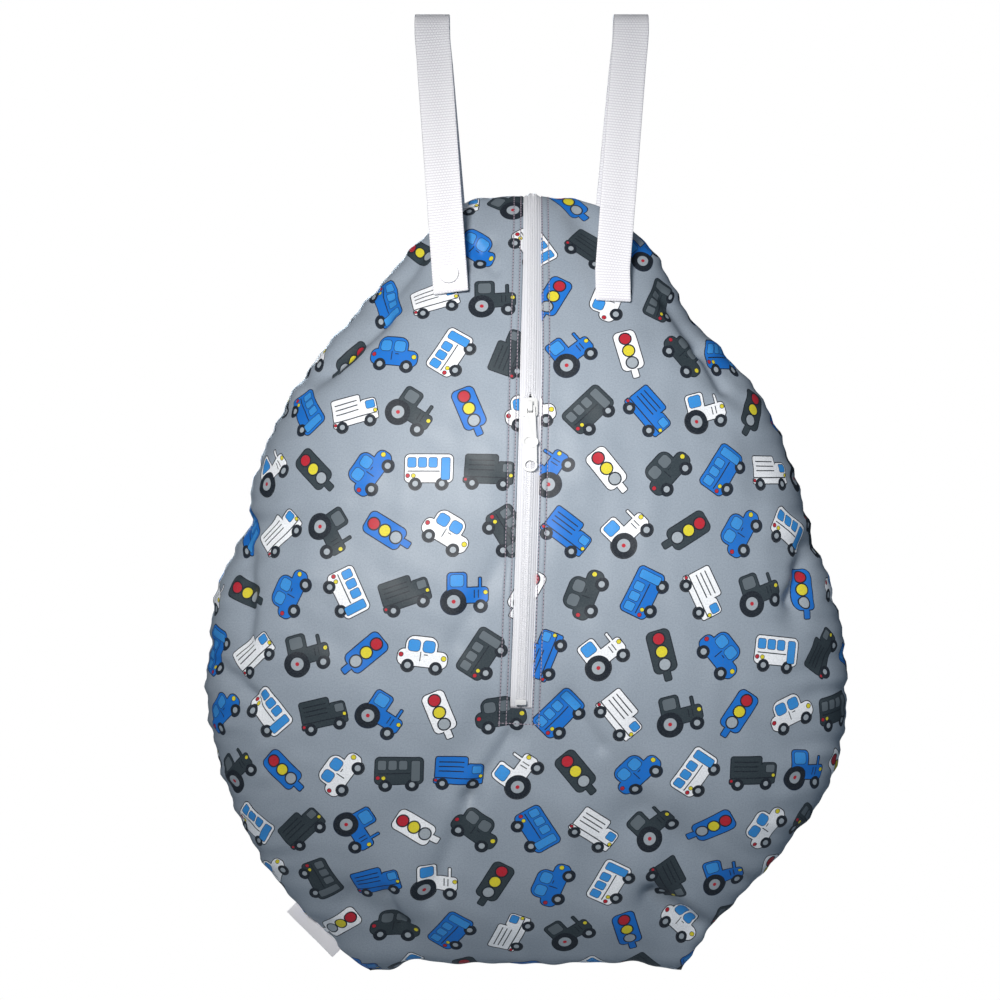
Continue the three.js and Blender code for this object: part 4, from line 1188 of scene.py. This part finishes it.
def softened(node, name, edge, segments=2, flat_angle=4):
    """A copy of a CAD node's mesh, merged and cleaned, with its edges rounded."""
    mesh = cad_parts[node].data.copy()
    mesh.name = name
    shaped = bmesh.new()
    shaped.from_mesh(mesh)
    bmesh.ops.remove_doubles(shaped, verts=shaped.verts, dist=0.01 * MM)
    flat = math.radians(flat_angle)
    bmesh.ops.dissolve_limit(shaped, angle_limit=flat, verts=shaped.verts, edges=shaped.edges)
    sharp = [e for e in shaped.edges if e.is_manifold and e.calc_face_angle(0) > rounded_from]
    bmesh.ops.bevel(
        shaped, geom=sharp, offset=edge, segments=segments, profile=edge_profile,
        affect="EDGES", clamp_overlap=True,
    )
    bmesh.ops.triangulate(shaped, faces=[f for f in shaped.faces if len(f.verts) > 4])
    shaped.to_mesh(mesh)
    shaped.free()
    mesh.polygons.foreach_set("use_smooth", np.ones(len(mesh.polygons), bool))
    mesh.set_sharp_from_angle(angle=cast_crease)
    return mesh


enamel_finish = grained(
    "white_enamel", 0.45, 420, ((0.67, 0.67, 0.67), (0.63, 0.63, 0.63)),
    bump=(0.05 * MM, 0.6), gloss=(0.12, 0.38), Coat_Weight=0.05, Coat_Roughness=0.3,
)
for node, name, body, edge in (
    ("zip_slider", "slider", "bag", 0.3 * MM),
    ("zip_pull", "pull", "pull", 0.25 * MM),
    ("zip_stop", "bottom_stop", "bag", 0.25 * MM),
):
    add_piece(name, softened(node, name, edge), enamel_finish, body, [node])

# Topstitching
# Two rows of grey thread down each side of the zip hold the turned cloth to the tape, and one short
# row closes the bottom of the slot. Each stitch sinks a little into the cloth at both ends.
stitch_pitch = 2.5 * MM
stitch_length = 1.7 * MM
thread_radius = 0.3 * MM
hole_width = 0.8 * MM
hole_length = 1.1 * MM
hole_rise = 0.06 * MM
hole_edge = -0.15 * MM
hole_sides = 8
row_low_end = 0.35
row_top_end = 0.25
row_step = 2 * MM
end_row_points = 16
thread_finish = grained(
    "grey_thread", 0.7, 1800, ((0.27, 0.21, 0.26), (0.42, 0.35, 0.41)), Sheen_Weight=0.2
)
half_stitch = stitch_length / 2
stitch_shape = tube_mesh(
    "stitch",
    [
        (0, -half_stitch, -0.3 * MM),
        (0, -half_stitch * 0.8, 0.02 * MM),
        (0, -half_stitch * 0.3, 0.14 * MM),
        (0, half_stitch * 0.3, 0.14 * MM),
        (0, half_stitch * 0.8, 0.02 * MM),
        (0, half_stitch, -0.3 * MM),
    ],
    np.array((0.5, 0.9, 1, 1, 0.9, 0.5)) * thread_radius,
)


def relief_line(x, places):
    """A line on the dressed front, with the small relief that the cloth has there."""
    across = np.clip(across_at(x, places), -1, 1)
    direction = outward(skin, FRONT, across, places)
    return soft_relief(FRONT, across, places, skin(FRONT, across, places), direction), direction


stitch_lines = []
row_places = zip_places(row_step, zip_end_place - row_low_end, last_place - row_top_end)
for side, row_place in stitch_rows:
    x, half = zip_line(row_places)
    stitch_lines.append(relief_line(x + side * (half + row_place), row_places))
end_row_place = place_at(FRONT, zip_end_x, top_seam - zip_length - end_row_drop)
end_x, end_half = zip_line(end_row_place)
end_reach = (end_half + stitch_rows[1][1], end_half + stitch_rows[3][1])
end_spread = end_x + np.linspace(-end_reach[0], end_reach[1], end_row_points)
stitch_lines.append(relief_line(end_spread, np.full(end_row_points, end_row_place)))
stitch_mesh = repeated("topstitching", stitch_lines, stitch_shape, stitch_pitch, thread_finish)
add_piece("topstitching", stitch_mesh, None, "bag")


def needle_hole():
    """A small oval dimple between two stitches, with its middle sunk; its near-black finish is painted
    shadow.
    """
    turns = np.linspace(0, 2 * math.pi, hole_sides, endpoint=False)
    rings = []
    for share, rise in ((1, hole_edge), (0.8, hole_rise), (0.3, hole_rise / 2)):
        x = np.cos(turns) * hole_width / 2 * share
        y = np.sin(turns) * hole_length / 2 * share + stitch_pitch / 2
        rings.append(np.stack([x, y, np.full(hole_sides, rise)], -1))
    return lofted_mesh("needle_hole", np.array(rings), "hole", np.zeros((3, hole_sides, 2)))


# Painted shadow: the needle holes get a near-black finish that stands in for the shade inside them.
hole_shadow_finish = grained("needle_shadow", 0.9, 900, ((0.03, 0.03, 0.045), (0.09, 0.09, 0.12)))
hole_mesh = repeated("needle_holes", stitch_lines, needle_hole(), stitch_pitch, hole_shadow_finish)
add_piece("needle_holes", hole_mesh, None, "bag")

# Straps
# White polypropylene webbing, 25 mm wide, folded over the rail. Each end is turned under and sewn to
# the bag, front and back; the left strap's front end is held by a snap instead.
strap_width = 25.4 * MM
strap_thickness = 1.5 * MM
rail_radius = 12 * MM
hem_length = 24 * MM
rear_shift = -1.5 * MM
strap_clearance = 0.5 * MM
strap_upright = 0.5
socket_height = 3.2 * MM
socket_foot_radius = 3.8 * MM
loop_steps = 12
leg_shares = (0.06, 0.25, 0.45, 0.65, 0.85)
strap_step = 1.5 * MM
selvage_in = 0.3
selvage_out = 0.7
straps = {
    "left": {"top_x": -0.068, "end_x": -0.0535, "drop": 0.069, "lean": -0.12, "snapped": True},
    "right": {"top_x": 0.076, "end_x": 0.0605, "drop": 0.074, "lean": 0.04, "snapped": False},
}


def strap_end(face, x, drop, lean, snapped):
    """The flat hem: three points from its lower end up, on the strap's outer face."""
    place = place_at(face, x, top_seam - drop + hem_length / 2)
    _, out = off_skin(face, x, place, 0)
    upright = strap_upright * math.atan2(out[2], -out[1]) if face == FRONT else 0.0
    room = socket_height + 2 * clearance if snapped else strap_clearance
    reach = socket_foot_radius if snapped else hem_length / 2
    middle, _ = off_skin(face, x, place, room + reach * math.sin(upright) + 2 * strap_thickness)
    turn_back = np.array([
        (1, 0, 0),
        (0, math.cos(upright), -math.sin(upright)),
        (0, math.sin(upright), math.cos(upright)),
    ])
    out = turn_back @ out
    up = np.array((lean, 0, 1.0))
    up = unit(up - out * (up @ out))
    return [(middle + up * share * hem_length, out) for share in (-0.5, 0, 0.5)]


def strap_path(top_x, end_x, drop, lean, snapped):
    """Points on the strap's outer face with their outward directions, from the front end to the back."""
    front = strap_end(FRONT, end_x, drop, lean, snapped)
    back = strap_end(BACK, end_x - math.copysign(rear_shift, end_x), drop, lean, False)[::-1]
    radius = rail_radius + strap_thickness

    def touch(point):
        above = point[2] + rail_radius
        return math.atan2(above, abs(point[1])) + math.acos(radius / math.hypot(point[1], above))

    start = touch(front[2][0])
    turn = math.pi - touch(back[0][0]) - start
    loop = []
    for i in range(loop_steps + 1):
        angle = start + turn * i / loop_steps
        out = np.array((0, -math.cos(angle), math.sin(angle)))
        loop.append((np.array((top_x, 0, -rail_radius)) + out * radius, out))

    def leg(low, high):
        return [(low[0] + (high[0] - low[0]) * s, unit(low[1] + (high[1] - low[1]) * s))
                for s in leg_shares]

    stations = [*front, *leg(front[2], loop[0]), *loop, *leg(back[0], loop[-1])[::-1], *back]
    return np.array([p for p, _ in stations]), np.array([o for _, o in stations])


def smoothed(points, step):
    """Points a step apart on a smooth curve through the given ones, for any number of columns."""
    run = lengths_along(points[:, :3])
    slope = np.gradient(points, run, axis=0)
    places = np.linspace(0, run[-1], int(run[-1] / step) + 1)
    index = np.clip(np.searchsorted(run, places, "right") - 1, 0, len(run) - 2)
    span = (run[index + 1] - run[index])[:, None]
    s = (places - run[index])[:, None] / span
    a, b = points[index], points[index + 1]
    return (
        (2 * s**3 - 3 * s**2 + 1) * a + (s**3 - 2 * s**2 + s) * slope[index] * span
        + (3 * s**2 - 2 * s**3) * b + (s**3 - s**2) * slope[index + 1] * span
    )


def strap_mesh(name, values):
    points, outs = strap_path(**values)
    path = smoothed(np.concatenate([points, outs], 1), strap_step)
    centre = path[:, :3]
    out = unit(path[:, 3:])
    centre = centre - out * strap_thickness / 2

    def folded(centre, out):
        """The turned-under end, added before the first point."""
        run = unit(centre[0] - centre[3])
        layer = strap_thickness * 1.02
        pivot = centre[0] - out[0] * layer / 2
        added = []
        under = [centre[0] - out[0] * layer - run * d for d in np.arange(hem_length - 1 * MM, 0, -2 * MM)]
        added += [(p, -out[0]) for p in under]
        for angle in np.linspace(-75, 75, 6):
            direction = run * math.cos(math.radians(angle)) + out[0] * math.sin(math.radians(angle))
            added.append((pivot + direction * layer / 2, direction))
        return np.array([p for p, _ in added]), np.array([o for _, o in added])

    first, first_out = folded(centre, out)
    last, last_out = folded(centre[::-1], out[::-1])
    centre = np.concatenate([first, centre, last[::-1]])
    out = np.concatenate([first_out, out, last_out[::-1]])
    run = unit(np.gradient(centre, axis=0))
    side = unit(np.cross(run, out))
    square = np.cross(side, run)
    edge = strap_thickness / 2
    flat = np.linspace(-1, 1, 15) * (strap_width / 2 - edge)
    half = strap_width / 2
    turned = half - edge * selvage_in
    upper = [(s, edge) for s in flat] + [(turned, edge * selvage_out), (half, 0)]
    lower = [(turned, -edge * selvage_out)] + [(s, -edge) for s in flat[::-1]]
    lower += [(-turned, -edge * selvage_out), (-half, 0), (-turned, edge * selvage_out)]
    outline = np.array(upper + lower)
    rings = (centre[:, None] + side[:, None] * outline[None, :, 0, None]
             + square[:, None] * outline[None, :, 1, None])
    along = lengths_along(centre)
    uv = np.stack([np.broadcast_to(outline[None, :, 0], rings.shape[:2]),
                   np.broadcast_to(along[:, None], rings.shape[:2])], -1)
    return lofted_mesh(name, rings, "webbing", uv)


webbing_row = 1.95 * MM
webbing_cell = 2.07 * MM
pillow_power = 0.34
fibre_scale = 2400
fibre_relief = 0.15
webbing_relief = 0.16 * MM
# The dark colour is painted shade for the weave's hollows; the light one is the white yarn.
webbing_hollow_shade_and_white = ((0.50, 0.46, 0.53), (0.92, 0.91, 0.93))


def woven_webbing():
    finish, tree, shader = new_finish("white_webbing", 0.55, Sheen_Weight=0.25)
    strap_point = uv_point(tree, "webbing")
    parts = tree.nodes.new("ShaderNodeSeparateXYZ")
    tree.links.new(strap_point, parts.inputs[0])
    rows = calc(tree, "DIVIDE", parts.outputs[1], webbing_row)
    odd = calc(tree, "FLOORED_MODULO", calc(tree, "FLOOR", rows), 2.0)
    cells = calc(tree, "MULTIPLY_ADD", odd, 0.5, calc(tree, "DIVIDE", parts.outputs[0], webbing_cell))
    arcs = []
    for value in (rows, cells):
        arc = calc(tree, "ABSOLUTE", calc(tree, "SINE", calc(tree, "MULTIPLY", value, math.pi)))
        arcs.append(calc(tree, "POWER", arc, pillow_power))
    middle = bell(tree, calc(tree, "DIVIDE", parts.outputs[0], strap_width / 3))
    depth = calc(tree, "MULTIPLY_ADD", middle, 0.6, 0.2)
    ticks = calc(tree, "MULTIPLY", calc(tree, "SUBTRACT", 1.0, arcs[1]), depth)
    pillow = calc(tree, "MULTIPLY", arcs[0], calc(tree, "SUBTRACT", 1.0, ticks))
    fibre = noise(tree, strap_point, fibre_scale)
    bumped(tree, shader, calc(tree, "MULTIPLY_ADD", fibre, fibre_relief, pillow), webbing_relief)
    # Painted shade: the webbing's colour darkens in the hollows between its woven rows and ticks, where
    # the relief is low.
    tree.links.new(mixed(tree, pillow, *webbing_hollow_shade_and_white), shader.inputs["Base Color"])
    return finish


webbing_finish = woven_webbing()
for label, values in straps.items():
    mesh = strap_mesh(f"webbing_{label}", values)
    add_piece(f"webbing_{label}", mesh, webbing_finish, "bag", [f"strap_{label}"])

# Snap
# A white acetal snap that closes the left strap's front end: a plain glossy cap outside the strap,
# and its socket hidden between the strap and the cloth.
snap_finish = grained(
    "snap_acetal", 0.42, 1100, ((0.90, 0.90, 0.91), (0.86, 0.86, 0.87)),
    bump=(0.02 * MM, 0.5), gloss=(0.15, 0.36),
)
for node, name in (("snap_cap", "cap"), ("snap_socket", "socket")):
    add_piece(name, softened(node, name, 0.25 * MM, 3, 1), snap_finish, "bag", [node])

# Side label
# A folded white satin ribbon caught in the left seam near the bottom corner. It is left bare.
ribbon_finish = grained(
    "label_satin", 0.38, 1500, ((0.97, 0.95, 0.97), (0.93, 0.90, 0.93)),
    bump=(0.05 * MM,), Sheen_Weight=0.3, Anisotropic=0.4,
)
label_mesh = softened("side_label", "label", 0.3 * MM, 2, 1)
add_piece("label", label_mesh, ribbon_finish, "bag", ["side_label"])
